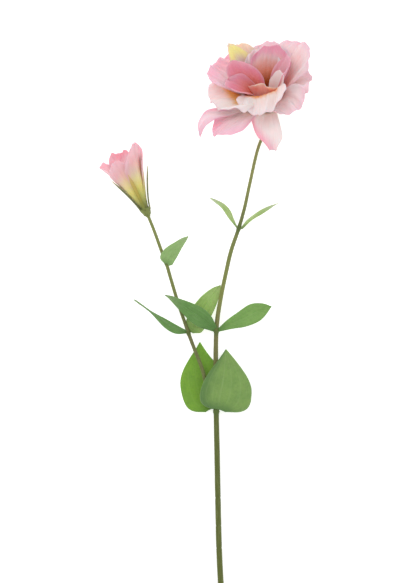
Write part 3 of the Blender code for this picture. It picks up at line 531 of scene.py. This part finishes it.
def petal_surface(p, u, v, detail=0.0, margin=0.0):
    """Points of petal p, in its flower's own axes. u runs from claw to rim and v from -1 to 1
    across. The axis is Z, azimuth 0 is X, and azimuth 90 is the side that faces the table."""
    s = u * (1 - p["corner"] * np.abs(v) ** CORNER_POWER + p["skew"] * v)
    s = np.minimum(s, 1.0) - margin * smooth(*MARGIN_GROWS, u)
    fine = np.linspace(0, 1, ARC_STEPS + 1)
    lean = np.radians(through(p["angles"], fine))
    middle = (lean[1:] + lean[:-1]) / 2
    step = p["length"] / ARC_STEPS
    rise = np.concatenate([[0], np.cumsum(np.cos(middle) * step)])
    run = np.concatenate([[0], np.cumsum(np.sin(middle) * step)])
    height = CLAW_HEIGHT + np.interp(s, fine, rise)
    radius = p["start"] + np.interp(s, fine, run)
    lean = np.interp(s, fine, lean)
    half = p["width"] * (p["claw"] + (1 - p["claw"]) * smooth(*WIDENS, s))
    half = half * (1 - (1 - p["tip"]) * smooth(*NARROWS, s))
    wrap = np.radians(through(p["wrap"], s))
    wrap = np.where(np.abs(wrap) < FLATTEST, FLATTEST, wrap)
    bend = wrap / half
    across = np.sin(bend * v * half) / bend
    inward = (1 - np.cos(bend * v * half)) / bend
    sides = SIDE_WAVES * smooth(*SIDE_ACROSS, np.abs(v)) * smooth(*SIDE_ALONG, u)
    wave = np.sin(math.pi * p["waves"] * v + p["phase"])
    less = np.sin(math.pi * LESS_WAVE_RATE * p["waves"] * v + LESS_WAVE_PHASE * p["phase"]
                  + LESS_WAVE_DRIFT * u)
    waves = (smooth(*RIM_WAVES, u) + sides) * (wave + LESS_WAVE * less)
    inward = inward + p["ruffle"] * waves + detail
    turn = np.radians(p["twist"]) * smooth(*TWISTS, s)
    side = across * np.cos(turn) - inward * np.sin(turn)
    inward = across * np.sin(turn) + inward * np.cos(turn)
    out = radius - inward * np.cos(lean)
    up = height + inward * np.sin(lean)
    azimuth = np.radians(p["azimuth"] + p["sway"] * s**2)
    return np.stack([out * np.cos(azimuth) - side * np.sin(azimuth),
                     out * np.sin(azimuth) + side * np.cos(azimuth), up], axis=-1)


def fine_petal(p, seed, matrix):
    """The placed surface of petal p, with its fine relief and an uneven margin."""
    def surface(u, v):
        margin = MARGIN * (1 + blade_noise(u, v, MARGIN_CELLS, seed + 3))
        return placed(petal_surface(p, u, v, petal_detail(p, u, v, seed), margin), matrix)
    return surface


def keeled_sepal(p, matrix):
    """The placed surface of sepal p, with a keel down its back."""
    def surface(u, v):
        keel = -KEEL_HEIGHT * np.exp(-(v / KEEL_WIDTH) ** 2) * (1 - smooth(*RELIEF_ENDS, u))
        return placed(petal_surface(p, u, v, keel), matrix)
    return surface


def flower_matrix(flower):
    """From a flower's own axes to the spray's, both in millimetres."""
    lean, tilt = math.radians(flower["lean"]), math.radians(flower["tilt"])
    to_table = Vector((-math.sin(lean) * math.sin(tilt), math.cos(lean) * math.sin(tilt),
                       -math.cos(tilt)))
    axis = Vector((-math.sin(lean) * math.cos(tilt), math.cos(lean) * math.cos(tilt),
                   math.sin(tilt)))
    turned = Matrix((to_table.cross(axis), to_table, axis)).transposed().to_4x4()
    return Matrix.Translation(Vector(flower["base"])) @ turned


def placed(points, matrix):
    """Points, an array, moved by a matrix."""
    m = np.array(matrix)
    return points @ m[:3, :3].T + m[:3, 3]


def pressed(points, thickness):
    """Points of a blade's middle surface, bent up where the table would be in the way."""
    low = thickness / 2 + TABLE_CLEARANCE
    over = points[:, 2] - low
    blend = (over + PRESS) ** 2 / (4 * PRESS)
    height = np.where(over < -PRESS, 0.0, np.where(over > PRESS, over, blend))
    return np.column_stack([points[:, :2], low + height])


def leaf_surface(leaf, u, v, detail):
    """Points of a leaf. u runs along its midrib from base to tip and v across, -1 to 1."""
    ahead = through(leaf["midrib"], np.minimum(u + TANGENT_STEP, 1.0))
    behind = through(leaf["midrib"], np.maximum(u - TANGENT_STEP, 0.0))
    along, side, normal = directions(ahead - behind)
    roll = np.radians(through(leaf["roll"], u))[:, None]
    side, normal = (side * np.cos(roll) + normal * np.sin(roll),
                    normal * np.cos(roll) - side * np.sin(roll))
    half = np.maximum(through(leaf["widths"], u) / 2, 0.0)
    across = half * (v + leaf["uneven"] * v**2)
    slope = math.tan(math.radians(leaf["fold"]))
    lift = slope * (np.sqrt(across**2 + KEEL_ROUNDING**2) - KEEL_ROUNDING)
    lift = lift * np.cos(math.pi / 2 * leaf["droop"] * v**2)
    lift = lift + leaf["wave"] * np.sin(2 * math.pi * leaf["waves"] * u + WAVE_LAG * v) * v**2
    back = leaf["lobe"] * (v * half / half.max()) ** 2 * (1 - u) ** LOBE_POWER
    back = back + leaf["seat"] * (1 - u) ** SEAT_POWER
    points = through(leaf["midrib"], u) + side * across[:, None]
    return points + normal * (lift + detail)[:, None] - along * back[:, None]


def fine_leaf(leaf, seed):
    """The surface of a leaf with its midrib and side veins sunk in and soft swells between."""
    def surface(u, v):
        half = np.maximum(through(leaf["widths"], u) / 2, NARROWEST)
        fade = 1 - smooth(*RELIEF_ENDS, u)
        rib = -RIB_DEPTH * np.exp(-(v * half / RIB_WIDTH) ** 2) * fade
        veins = sum(np.exp(-((np.abs(v) - place) * half / VEIN_WIDTH) ** 2)
                    for place in LEAF_VEINS)
        swells = SWELLS * blade_noise(u, v, SWELL_CELLS, seed)
        swells = swells * np.minimum(1, half / SWELL_WIDTH)
        return leaf_surface(leaf, u, v, rib + (swells - VEIN_DEPTH * veins) * fade)
    return surface


# ---- meshes
stem_points = np.array([vertex.co[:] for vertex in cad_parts["stem"].data.vertices])
cut_ring = stem_points[stem_points[:, 1] < stem_points[:, 1].min() + END_DEPTH]
CUT_END = Vector(((cut_ring[:, 0].min() + cut_ring[:, 0].max()) / 2,
                  (cut_ring[:, 1].min() + cut_ring[:, 1].max()) / 2, 0.0))


def as_mesh(name, cage):
    """A cage as a mesh of its own."""
    mesh = bpy.data.meshes.new(name)
    cage.to_mesh(mesh)
    cage.free()
    return mesh


def finished(name, mesh, materials, node, slot):
    """An object from a mesh in layout millimetres: placed, smooth, and tied to the model."""
    mesh.transform(Matrix.Translation(CUT_END) @ Matrix.Scale(MM, 4))
    mesh.shade_smooth()
    for material in materials:
        mesh.materials.append(material)
    obj = bpy.data.objects.new(name, mesh)
    bpy.context.scene.collection.objects.link(obj)
    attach(obj, "root")
    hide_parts(node)
    return obj


def blade(name, grid, surface, thickness, materials, node, slot):
    """A thin blade: surface(u, v) on a grid, with a UV map of v and u, given its thickness.
    Its first material is for the outer or upper face and its last for the other."""
    rows, columns = grid
    cage = bmesh.new()
    bmesh.ops.create_grid(cage, x_segments=columns - 1, y_segments=rows - 1, size=1.0)
    flat = np.array([vertex.co[:2] for vertex in cage.verts])
    points = pressed(surface((flat[:, 1] + 1) / 2, flat[:, 0]), thickness)
    for vertex, point in zip(cage.verts, points):
        vertex.co = point
    mesh = as_mesh(name, cage)
    corners = np.empty(len(mesh.loops), dtype=np.int32)
    mesh.loops.foreach_get("vertex_index", corners)
    layer = mesh.uv_layers.new(name=UV_MAP)
    layer.uv.foreach_set("vector", ((flat[corners] + 1) / 2).astype(np.float32).ravel())
    obj = finished(name, mesh, materials, node, slot)
    solidify = obj.modifiers.new("Thickness", "SOLIDIFY")
    solidify.thickness = thickness * MM
    solidify.offset = 0
    solidify.use_even_offset = False
    solidify.material_offset = len(materials) - 1


def tube(name, stations, relief, materials, node, slot, sides=28):
    """A stem through stations of x, y, z and radius. relief(angle, along) scales its radius.
    Its last material is that of its two ends."""
    centres, radii = stations[:, :3], stations[:, 3]
    _, side, above = directions(np.gradient(centres, axis=0))
    angle = np.linspace(0, 2 * math.pi, sides, endpoint=False)
    reach = distances(centres)
    radius = radii[:, None] * relief(angle[None, :], reach[:, None])
    turn = angle[None, :, None]
    ring = side[:, None] * np.cos(turn) + above[:, None] * np.sin(turn)
    points = (centres[:, None] + ring * radius[:, :, None]).reshape(-1, 3)
    count = len(stations)
    faces = [(i * sides + j, i * sides + (j + 1) % sides, (i + 1) * sides + (j + 1) % sides,
              (i + 1) * sides + j) for i in range(count - 1) for j in range(sides)]
    faces.append(tuple(range(sides))[::-1])
    faces.append(tuple((count - 1) * sides + j for j in range(sides)))
    mesh = bpy.data.meshes.new(name)
    mesh.from_pydata(points.tolist(), [], faces)
    repair = bmesh.new()
    repair.from_mesh(mesh)
    bmesh.ops.recalc_face_normals(repair, faces=repair.faces)
    repair.to_mesh(mesh)
    repair.free()
    layer = mesh.uv_layers.new(name=UV_MAP)
    for polygon in mesh.polygons:
        for loop in polygon.loop_indices:
            index = mesh.loops[loop].vertex_index
            j = index % sides
            closing = j == 0 and polygon.index % sides == sides - 1
            layer.uv[loop].vector = (1.0 if closing else j / sides,
                                     reach[index // sides] / reach[-1])
    for polygon in list(mesh.polygons)[-2:]:
        polygon.material_index = len(materials) - 1
    finished(name, mesh, materials, node, slot)


def stem_stations(route, nodes, grooves):
    """Points along a stem, by y, with its nodes swollen and its grooves cut in."""
    line = through(route, np.linspace(0, 1, ROUTE_POINTS))
    places = np.linspace(line[0, 1], line[-1, 1], round((line[-1, 1] - line[0, 1]) / STEM_STEP))
    stations = np.column_stack([np.interp(places, line[:, 1], line[:, i]) for i in range(4)])
    changes = [(middle, NODE_SWELL, NODE_HALF_LENGTH) for middle in nodes]
    changes += [(middle, -GROOVE_DEPTH, GROOVE_HALF_LENGTH) for middle in grooves]
    for middle, change, half_length in changes:
        near = np.clip(1 - np.abs(places - middle) / half_length / CHANGE_ENDS, 0, 1)
        stations[:, 3] *= 1 + change * smooth(0, 1, near)
    return stations


def joint_shares(stations, joints):
    """How far along a stem each joint lies, as a share of its length."""
    reach = distances(stations[:, :3])
    return [float(np.interp(joint, stations[:, 1], reach) / reach[-1]) for joint in joints]


def stem_relief(seed):
    """How a stem's ribs, its fine lines and its uneven bark scale its radius."""
    def relief(angle, along):
        ribs = RIB_HEIGHT * np.cos(RIBS * angle + RIB_SWAY * np.sin(along / RIB_SWAY_LENGTH))
        lines = LINE_HEIGHT * np.cos(LINES * angle + along / LINE_LENGTH)
        bark = BARK_HEIGHT * soft_noise(along / BARK_LENGTH, angle + BARK_START, seed)
        return 1 + ribs + lines + bark
    return relief


def turned(name, profile, matrix, material, node, slot, ridge=0.0, steps=60):
    """A solid of revolution from (radius, height) points, with ridges round it."""
    line = through(profile, np.linspace(0, 1, PROFILE_STEPS * len(profile)))
    line[:, 0] = np.maximum(line[:, 0], 0)
    cage = bmesh.new()
    rings = []
    for radius, height in line:
        if radius < ON_AXIS:
            rings.append([cage.verts.new((0, 0, height))])
            continue
        ring = []
        for k in range(steps):
            angle = 2 * math.pi * k / steps
            reach = radius * (1 + ridge * math.cos(RIDGES * angle))
            ring.append(cage.verts.new((reach * math.cos(angle), reach * math.sin(angle), height)))
        rings.append(ring)
    for below, above in zip(rings[:-1], rings[1:]):
        if len(below) == 1 and len(above) == 1:
            continue
        for k in range(steps):
            ahead = (k + 1) % steps
            corners = (below[k % len(below)], below[ahead % len(below)],
                       above[ahead % len(above)], above[k % len(above)])
            cage.faces.new(dict.fromkeys(corners))
    loose = [vertex for vertex in cage.verts if not vertex.link_faces]
    bmesh.ops.delete(cage, geom=loose, context="VERTS")
    bmesh.ops.recalc_face_normals(cage, faces=cage.faces)
    mesh = as_mesh(name, cage)
    mesh.transform(matrix)
    finished(name, mesh, [material], node, slot)


# ---- materials
def shader_tree(name):
    """A new material with its node tree and its Principled shader."""
    material = bpy.data.materials.new(name)
    material.use_nodes = True
    return material, material.node_tree, material.node_tree.nodes["Principled BSDF"]


def set_inputs(node, values):
    """Constants on a node's own sockets."""
    for key, value in values.items():
        node.inputs[key].default_value = value


def uv_place(tree):
    """Where a point lies on its blade: across, from 0 to 1, and along, from base to tip."""
    uv = tree.nodes.new("ShaderNodeUVMap")
    uv.uv_map = UV_MAP
    parts = tree.nodes.new("ShaderNodeSeparateXYZ")
    tree.links.new(uv.outputs["UV"], parts.inputs[0])
    return uv.outputs["UV"], parts.outputs["X"], parts.outputs["Y"]


def model_place(tree):
    """Where a point lies in the model, in metres."""
    return tree.nodes.new("ShaderNodeTexCoord").outputs["Object"]


def computed(tree, operation, first, second=0.0, third=0.0):
    """A Math node's result, from numbers or sockets."""
    node = tree.nodes.new("ShaderNodeMath")
    node.operation = operation
    for socket, value in zip(node.inputs, (first, second, third)):
        if isinstance(value, (int, float)):
            socket.default_value = value
        else:
            tree.links.new(value, socket)
    return node.outputs[0]


def stepped(tree, value, low, high, at_low=0.0, at_high=1.0):
    """A smooth step of a value."""
    node = tree.nodes.new("ShaderNodeMapRange")
    node.interpolation_type = "SMOOTHSTEP"
    tree.links.new(value, node.inputs["Value"])
    set_inputs(node, {"From Min": low, "From Max": high, "To Min": at_low, "To Max": at_high})
    return node.outputs["Result"]


def cloud(tree, vector, scale, detail=3, roughness=0.55):
    """Noise from 0 to 1."""
    node = tree.nodes.new("ShaderNodeTexNoise")
    tree.links.new(vector, node.inputs["Vector"])
    set_inputs(node, {"Scale": scale, "Detail": detail, "Roughness": roughness})
    return node.outputs["Fac"]


def streaks(tree, uv, scale, roughness=0.6):
    """Noise from 0 to 1, with its own scale across and along a blade."""
    node = tree.nodes.new("ShaderNodeMapping")
    tree.links.new(uv, node.inputs["Vector"])
    set_inputs(node, {"Scale": scale})
    return cloud(tree, node.outputs["Vector"], 1, 4, roughness)


def away(tree, value, middle):
    """How far a value is from a middle one."""
    return computed(tree, "ABSOLUTE", computed(tree, "SUBTRACT", value, middle))


def ramp(tree, factor, stops):
    """A colour that a factor picks from stops, each a place and an sRGB colour."""
    node = tree.nodes.new("ShaderNodeValToRGB")
    tree.links.new(factor, node.inputs["Fac"])
    points = node.color_ramp.elements
    while len(points) < len(stops):
        points.new(0.5)
    for point, (place, *colour) in zip(points, stops):
        point.position = place
        point.color = linear(colour)
    return node.outputs["Color"]


def mixed(tree, factor, first, second, blend="MIX"):
    """Two colours mixed, where each is a socket or an sRGB colour."""
    node = tree.nodes.new("ShaderNodeMix")
    node.data_type = "RGBA"
    node.blend_type = blend
    tree.links.new(factor, node.inputs[0])
    for socket, value in ((node.inputs[6], first), (node.inputs[7], second)):
        if isinstance(value, tuple):
            socket.default_value = linear(value)
        else:
            tree.links.new(value, socket)
    return node.outputs[2]


def layered(tree, colour, layers):
    """A colour with tints over it. A layer is a value, a low and a high of it, the tint's
    strength at each, and the tint."""
    for value, low, high, at_low, at_high, tint in layers:
        colour = mixed(tree, stepped(tree, value, low, high, at_low, at_high), colour, tint)
    return colour


def dressed(tree, shader, colour, roughness, height, strength, relief=RELIEF):
    """A shader given its colour, its roughness and its relief, in metres at full height."""
    bump = tree.nodes.new("ShaderNodeBump")
    set_inputs(bump, {"Strength": strength, "Distance": relief})
    tree.links.new(height, bump.inputs["Height"])
    for key, socket in (("Base Color", colour), ("Roughness", roughness),
                        ("Normal", bump.outputs["Normal"])):
        tree.links.new(socket, shader.inputs[key])


def set_thin(shader, weight, radius, scale):
    """Light that passes a little way into a thin blade."""
    set_inputs(shader, {"Subsurface Weight": weight, "Subsurface Radius": radius,
                        "Subsurface Scale": scale})


def petal_material(name, stops, look):
    """A petal's face: colours from claw to rim, fanned veins, a tinted edge and a soft sheen."""
    material, tree, shader = shader_tree(name)
    uv, across, along = uv_place(tree)
    place = model_place(tree)
    drift = cloud(tree, place, PETAL_DRIFT_SCALE)
    veins = streaks(tree, uv, PETAL_VEIN_SCALE)
    grain = cloud(tree, place, PETAL_GRAIN_SCALE, 2.0)
    shifted = computed(tree, "MULTIPLY_ADD", drift, COLOUR_DRIFT, -COLOUR_DRIFT / 2)
    shifted = computed(tree, "ADD", along, shifted)
    streaked = computed(tree, "MULTIPLY_ADD", veins, VEIN_DRIFT, -VEIN_DRIFT / 2)
    colour = ramp(tree, computed(tree, "ADD", shifted, streaked), stops)
    if look["edge_side"]:
        middle = computed(tree, "SUBTRACT", across, 0.5)
        middle = computed(tree, "MULTIPLY", middle, look["edge_side"])
    else:
        middle = away(tree, across, 0.5)
    side = stepped(tree, middle, 0.5 - look["edge_width"] / 2, 0.5)
    rim = stepped(tree, along, 1 - (look["rim_width"] or look["edge_width"]), 1.0)
    both = computed(tree, "MAXIMUM", side, rim)
    both = computed(tree, "MULTIPLY", both, stepped(tree, along, *EDGE_GROWS))
    strength = look["edge_strength"]
    patchy = stepped(tree, drift, 0.32, 0.62, EDGE_LEAST * strength, strength)
    colour = mixed(tree, computed(tree, "MULTIPLY", both, patchy), colour, look["edge"])
    deeper = stepped(tree, veins, 0.5, 0.8, 0.0, 0.5)
    colour = mixed(tree, deeper, colour, VEIN_TINT, "MULTIPLY")
    # near-white specks in the colour: painted sparkle
    colour = layered(tree, colour, [(grain, 0.4, 0.75, 0.0, 0.08, SPARKLE)])
    dressed(tree, shader, colour, stepped(tree, grain, 0.3, 0.7, 0.58, 0.74),
            computed(tree, "MULTIPLY_ADD", grain, 0.25, veins), 0.5)
    set_inputs(shader, {"Sheen Weight": 0.08, "Sheen Roughness": 0.5,
                        "Specular IOR Level": 0.25})
    set_thin(shader, 0.4, (1.0, 0.5, 0.45), 0.0016)
    return material


def leaf_material(name, base, mottle, vein, shade, tip, side_shade):
    """A leaf's face: mottled green with paler veins, painted shade at the stem and a painted
    shadow over its left side, with a waxy bloom.
    """
    material, tree, shader = shader_tree(name)
    uv, across, along = uv_place(tree)
    place = model_place(tree)
    drift = cloud(tree, place, LEAF_DRIFT_SCALE, 4.0)
    fleck = cloud(tree, place, LEAF_FLECK_SCALE, 3.0)
    streak = streaks(tree, uv, LEAF_STREAK_SCALE, 0.55)
    middle = away(tree, across, 0.5)
    offs = [away(tree, middle, spot / 2) for spot in LEAF_VEINS]
    colour = mixed(tree, stepped(tree, drift, 0.3, 0.7), base, mottle)
    colour = layered(tree, colour, [
        (along, 0.5, 1, 0, 0.8, tip),
        (across, 0.05, 0.42, side_shade, 0, shade),  # painted shadow over the left side, from its fold and the leaves over it
        (streak, 0.5, 0.75, 0, 0.25, vein),
        (fleck, 0.45, 0.7, 0, 0.2, shade),
        (middle, 0, 0.03, 0.4, 0, vein),  # the midrib
        *((off, 0, 0.02, 0.2, 0, vein) for off in offs),  # the side veins
        (along, 0, 0.2, 0.75, 0, shade),  # painted shade at the base, near the stem
        (middle, 0.47, 0.5, 0, 0.4, vein),  # the edges
    ])
    net = tree.nodes.new("ShaderNodeTexVoronoi")
    net.feature = "DISTANCE_TO_EDGE"
    set_inputs(net, {"Scale": LEAF_CELL_SCALE})
    tree.links.new(place, net.inputs["Vector"])
    cells = stepped(tree, net.outputs["Distance"], 0, 0.16)
    height = computed(tree, "MULTIPLY_ADD", cells, 0.3, streak)
    height = computed(tree, "MULTIPLY_ADD", fleck, 0.5, height)
    dressed(tree, shader, colour, stepped(tree, drift, 0.3, 0.7, 0.5, 0.68), height, 0.3)
    set_inputs(shader, {"Specular IOR Level": 0.3, "Sheen Weight": 0.12})
    set_thin(shader, 0.15, (0.5, 1, 0.3), 0.0012)
    return material


def stem_material(name, stops, joints=()):
    """Green bark with fine lengthwise streaks, darker at the joints where leaves grow."""
    material, tree, shader = shader_tree(name)
    uv, _, along = uv_place(tree)
    streak = streaks(tree, uv, STEM_STREAK_SCALE)
    fleck = cloud(tree, model_place(tree), STEM_FLECK_SCALE, 3)
    shifted = computed(tree, "MULTIPLY_ADD", fleck, STEM_DRIFT,
                       computed(tree, "SUBTRACT", along, STEM_DRIFT / 2))
    offs = [away(tree, along, joint) for joint in joints]
    colour = layered(tree, ramp(tree, shifted, stops), [
        (streak, 0.45, 0.75, 0, 0.32, STREAK_COLOUR),
        (fleck, 0.55, 0.8, 0, 0.4, FLECK_COLOUR),
        *((off, 0.003, 0.016, 0.75, 0, JOINT_COLOUR) for off in offs),
    ])
    dressed(tree, shader, colour, stepped(tree, fleck, 0.3, 0.7, 0.5, 0.66),
            computed(tree, "MULTIPLY_ADD", fleck, 0.5, streak), 0.5)
    set_inputs(shader, {"Specular IOR Level": 0.3})
    set_thin(shader, 0.1, (0.6, 1, 0.3), 0.001)
    return material


def plain_material(name):
    """A small part's finish: one colour patched with another."""
    colour, other, roughness, scale = PLAIN_LOOKS[name]
    material, tree, shader = shader_tree(name)
    patches = cloud(tree, model_place(tree), scale, 4)
    dressed(tree, shader, mixed(tree, stepped(tree, patches, 0.35, 0.65), colour, other),
            stepped(tree, patches, 0.3, 0.7, roughness, roughness + 0.15), patches, 0.5,
            PLAIN_RELIEF)
    set_thin(shader, 0.15, (1, 0.8, 0.4), 0.001)
    return material


# ---- the spray
def make_stems():
    pith = plain_material("stem_cut")
    main_line = stem_stations(MAIN_STEM, MAIN_NODES, MAIN_GROOVES)
    side_line = stem_stations(SIDE_SHOOT, SIDE_NODES, ())
    main = stem_material("stem_main", STEM_COLOURS, joint_shares(main_line, MAIN_NODES))
    side = stem_material("stem_side", SIDE_COLOURS, joint_shares(side_line, SIDE_NODES))
    tube("stem_main", main_line, stem_relief(3), [main, pith], "stem", "stem")
    tube("stem_side", side_line, stem_relief(5), [side, pith], "stem", "stem")


def make_leaves():
    finishes = {}
    for look, (base, mottle, vein, shade, tip, under, side_shade) in LEAF_LOOKS.items():
        upper = leaf_material(f"leaf_{look}_upper", base, mottle, vein, shade, tip, side_shade)
        lower = leaf_material(f"leaf_{look}_lower", under, base, vein, shade, under, 0.0)
        finishes[look] = [upper, lower]
    for seed, (name, spec) in enumerate(LEAVES.items(), LEAF_SEED):
        blade(f"{name}_blade", LEAF_GRID, fine_leaf(spec, seed), LEAF_THICKNESS,
              finishes[spec["look"]], name, LEAF_SLOTS.get(spec["look"], "leaf"))


def make_petals(prefix, petals, matrix, node, slot, finishes):
    for number, p in enumerate(petals, 1):
        surface = fine_petal(p, PETAL_SEED + PETAL_SEED_STEP * number, matrix)
        blade(f"{prefix}_{number:02d}", PETAL_GRID, surface, PETAL_THICKNESS,
              finishes[p["look"]], node, slot)


def make_calyx(prefix, calyx, matrix, node, finishes):
    turned(f"{prefix}_cup", calyx["profile"], matrix, finishes["green"], node, "sepal",
           ridge=0.03)
    raised = matrix @ Matrix.Translation((0, 0, calyx["sepal_height"] - CLAW_HEIGHT))
    sepals = zip(calyx["azimuths"], calyx["finishes"])
    for number, (azimuth, finish) in enumerate(sepals, 1):
        spec = {**calyx["sepal"], "azimuth": azimuth}
        blade(f"{prefix}_sepal_{number}", SEPAL_GRID, keeled_sepal(spec, raised),
              SEPAL_THICKNESS, [finishes[finish]], node, "sepal")


def make_throat(matrix):
    """The bloom's pistil and its five stamens."""
    green = plain_material("pistil_green")
    pollen = plain_material("pollen")
    filament = plain_material("filament")
    turned("bloom_pistil_body", PISTIL, matrix, green, "bloom_pistil", "pistil", steps=32)
    line = through(STAMEN_LINE, np.linspace(0, 1, num=12))
    out, up, _ = STAMEN_LINE[-1]
    for number, azimuth in enumerate(STAMEN_AZIMUTHS, 1):
        cos, sin = math.cos(math.radians(azimuth)), math.sin(math.radians(azimuth))
        centres = placed(np.column_stack([line[:, 0] * cos, line[:, 0] * sin, line[:, 1]]), matrix)
        tube(f"bloom_filament_{number}", np.column_stack([centres, line[:, 2]]),
             lambda angle, along: 1.0, [filament], "bloom_petals", "petal", sides=10)
        anther = bmesh.new()
        bmesh.ops.create_uvsphere(anther, u_segments=20, v_segments=14, radius=1.0)
        for vertex in anther.verts:
            x, y, z = (a * b for a, b in zip(vertex.co, ANTHER_SIZE))
            seam = 1 - ANTHER_SEAM * math.exp(-(y / ANTHER_SEAM_WIDTH) ** 2)
            vertex.co = matrix @ Vector((x * seam + out * cos, y + out * sin,
                                         z + up + ANTHER_RISE))
        finished(f"bloom_anther_{number}", as_mesh("anther", anther), [pollen], "bloom_petals",
                 "petal")


def make_flowers():
    finishes = {look: [petal_material(f"petal_{look}_{face}", tints[face], tints)
                       for face in ("outer", "inner")]
                for look, tints in PETAL_LOOKS.items()}
    sepals = {"green": plain_material("sepal_green")}
    for look, stops in SEPAL_COLOURS.items():
        sepals[look] = stem_material(f"sepal_{look}", stops)
    throat = plain_material("corolla_tube")
    bud_throat = plain_material("bud_tube")
    bloom, bud = flower_matrix(BLOOM), flower_matrix(BUD)
    make_petals("bloom_petal", BLOOM_PETALS, bloom, "bloom_petals", "petal", finishes)
    make_petals("bud_petal", BUD_PETALS, bud, "bud_petals", "bud_petal", finishes)
    turned("bloom_tube", BLOOM_TUBE, bloom, throat, "bloom_petals", "petal", ridge=0.02)
    turned("bud_tube", BUD_TUBE, bud, bud_throat, "bud_petals", "bud_petal", ridge=0.02)
    make_calyx("bloom_calyx", BLOOM_CALYX, bloom, "bloom_calyx", sepals)
    make_calyx("bud_calyx", BUD_CALYX, bud, "bud_calyx", sepals)
    make_throat(bloom)


# ---- floor, light and camera
CAMERA_HEIGHT = 2.0  # above the flowers, looking straight down
VIEW_HEIGHT = 0.513  # of the picture, at the flowers
VIEW_CENTRE = CUT_END + Vector((-0.01056, 0.2785, 0.015))
SENSOR = 36.0
FLOOR_SIZE = 8.0
LIGHTS = {  # place, size and power
    "key": ((-0.7, 0.9, 1.6), 1.2, 9.0),
    "fill": ((0.9, -0.3, 1.5), 1.4, 4.0),
}


def make_stage():
    bpy.ops.mesh.primitive_plane_add(size=FLOOR_SIZE)
    floor = bpy.context.object
    floor.name = "floor"
    material, _, shader = shader_tree("floor")
    set_inputs(shader, {"Base Color": (0.9, 0.9, 0.9, 1), "Roughness": 0.9,
                        "Emission Color": (1.0, 1.0, 1.0, 1), "Emission Strength": 0.55})
    floor.data.materials.append(material)

    world = bpy.data.worlds.new("studio")
    bpy.context.scene.world = world
    world.use_nodes = True
    set_inputs(world.node_tree.nodes["Background"],
               {"Color": (1.0, 1.0, 1.0, 1), "Strength": 0.66})

    for name, (place, size, power) in LIGHTS.items():
        light = bpy.data.lights.new(name, "AREA")
        light.size = size
        light.energy = power
        lamp = bpy.data.objects.new(name, light)
        lamp.location = place
        lamp.rotation_euler = (-Vector(place)).to_track_quat("-Z", "Y").to_euler()
        bpy.context.scene.collection.objects.link(lamp)


def make_camera():
    camera = bpy.data.objects.new("camera", bpy.data.cameras.new("camera"))
    bpy.context.scene.collection.objects.link(camera)
    camera.location = VIEW_CENTRE + Vector((0, 0, CAMERA_HEIGHT))
    camera.data.sensor_width = SENSOR
    camera.data.lens = SENSOR * CAMERA_HEIGHT / VIEW_HEIGHT
    camera.data.clip_end = 20.0
    bpy.context.scene.camera = camera
    bpy.context.scene.view_settings.view_transform = "Standard"


make_camera()
make_stage()
make_stems()
make_leaves()
make_flowers()

bpy.context.view_layer.update()
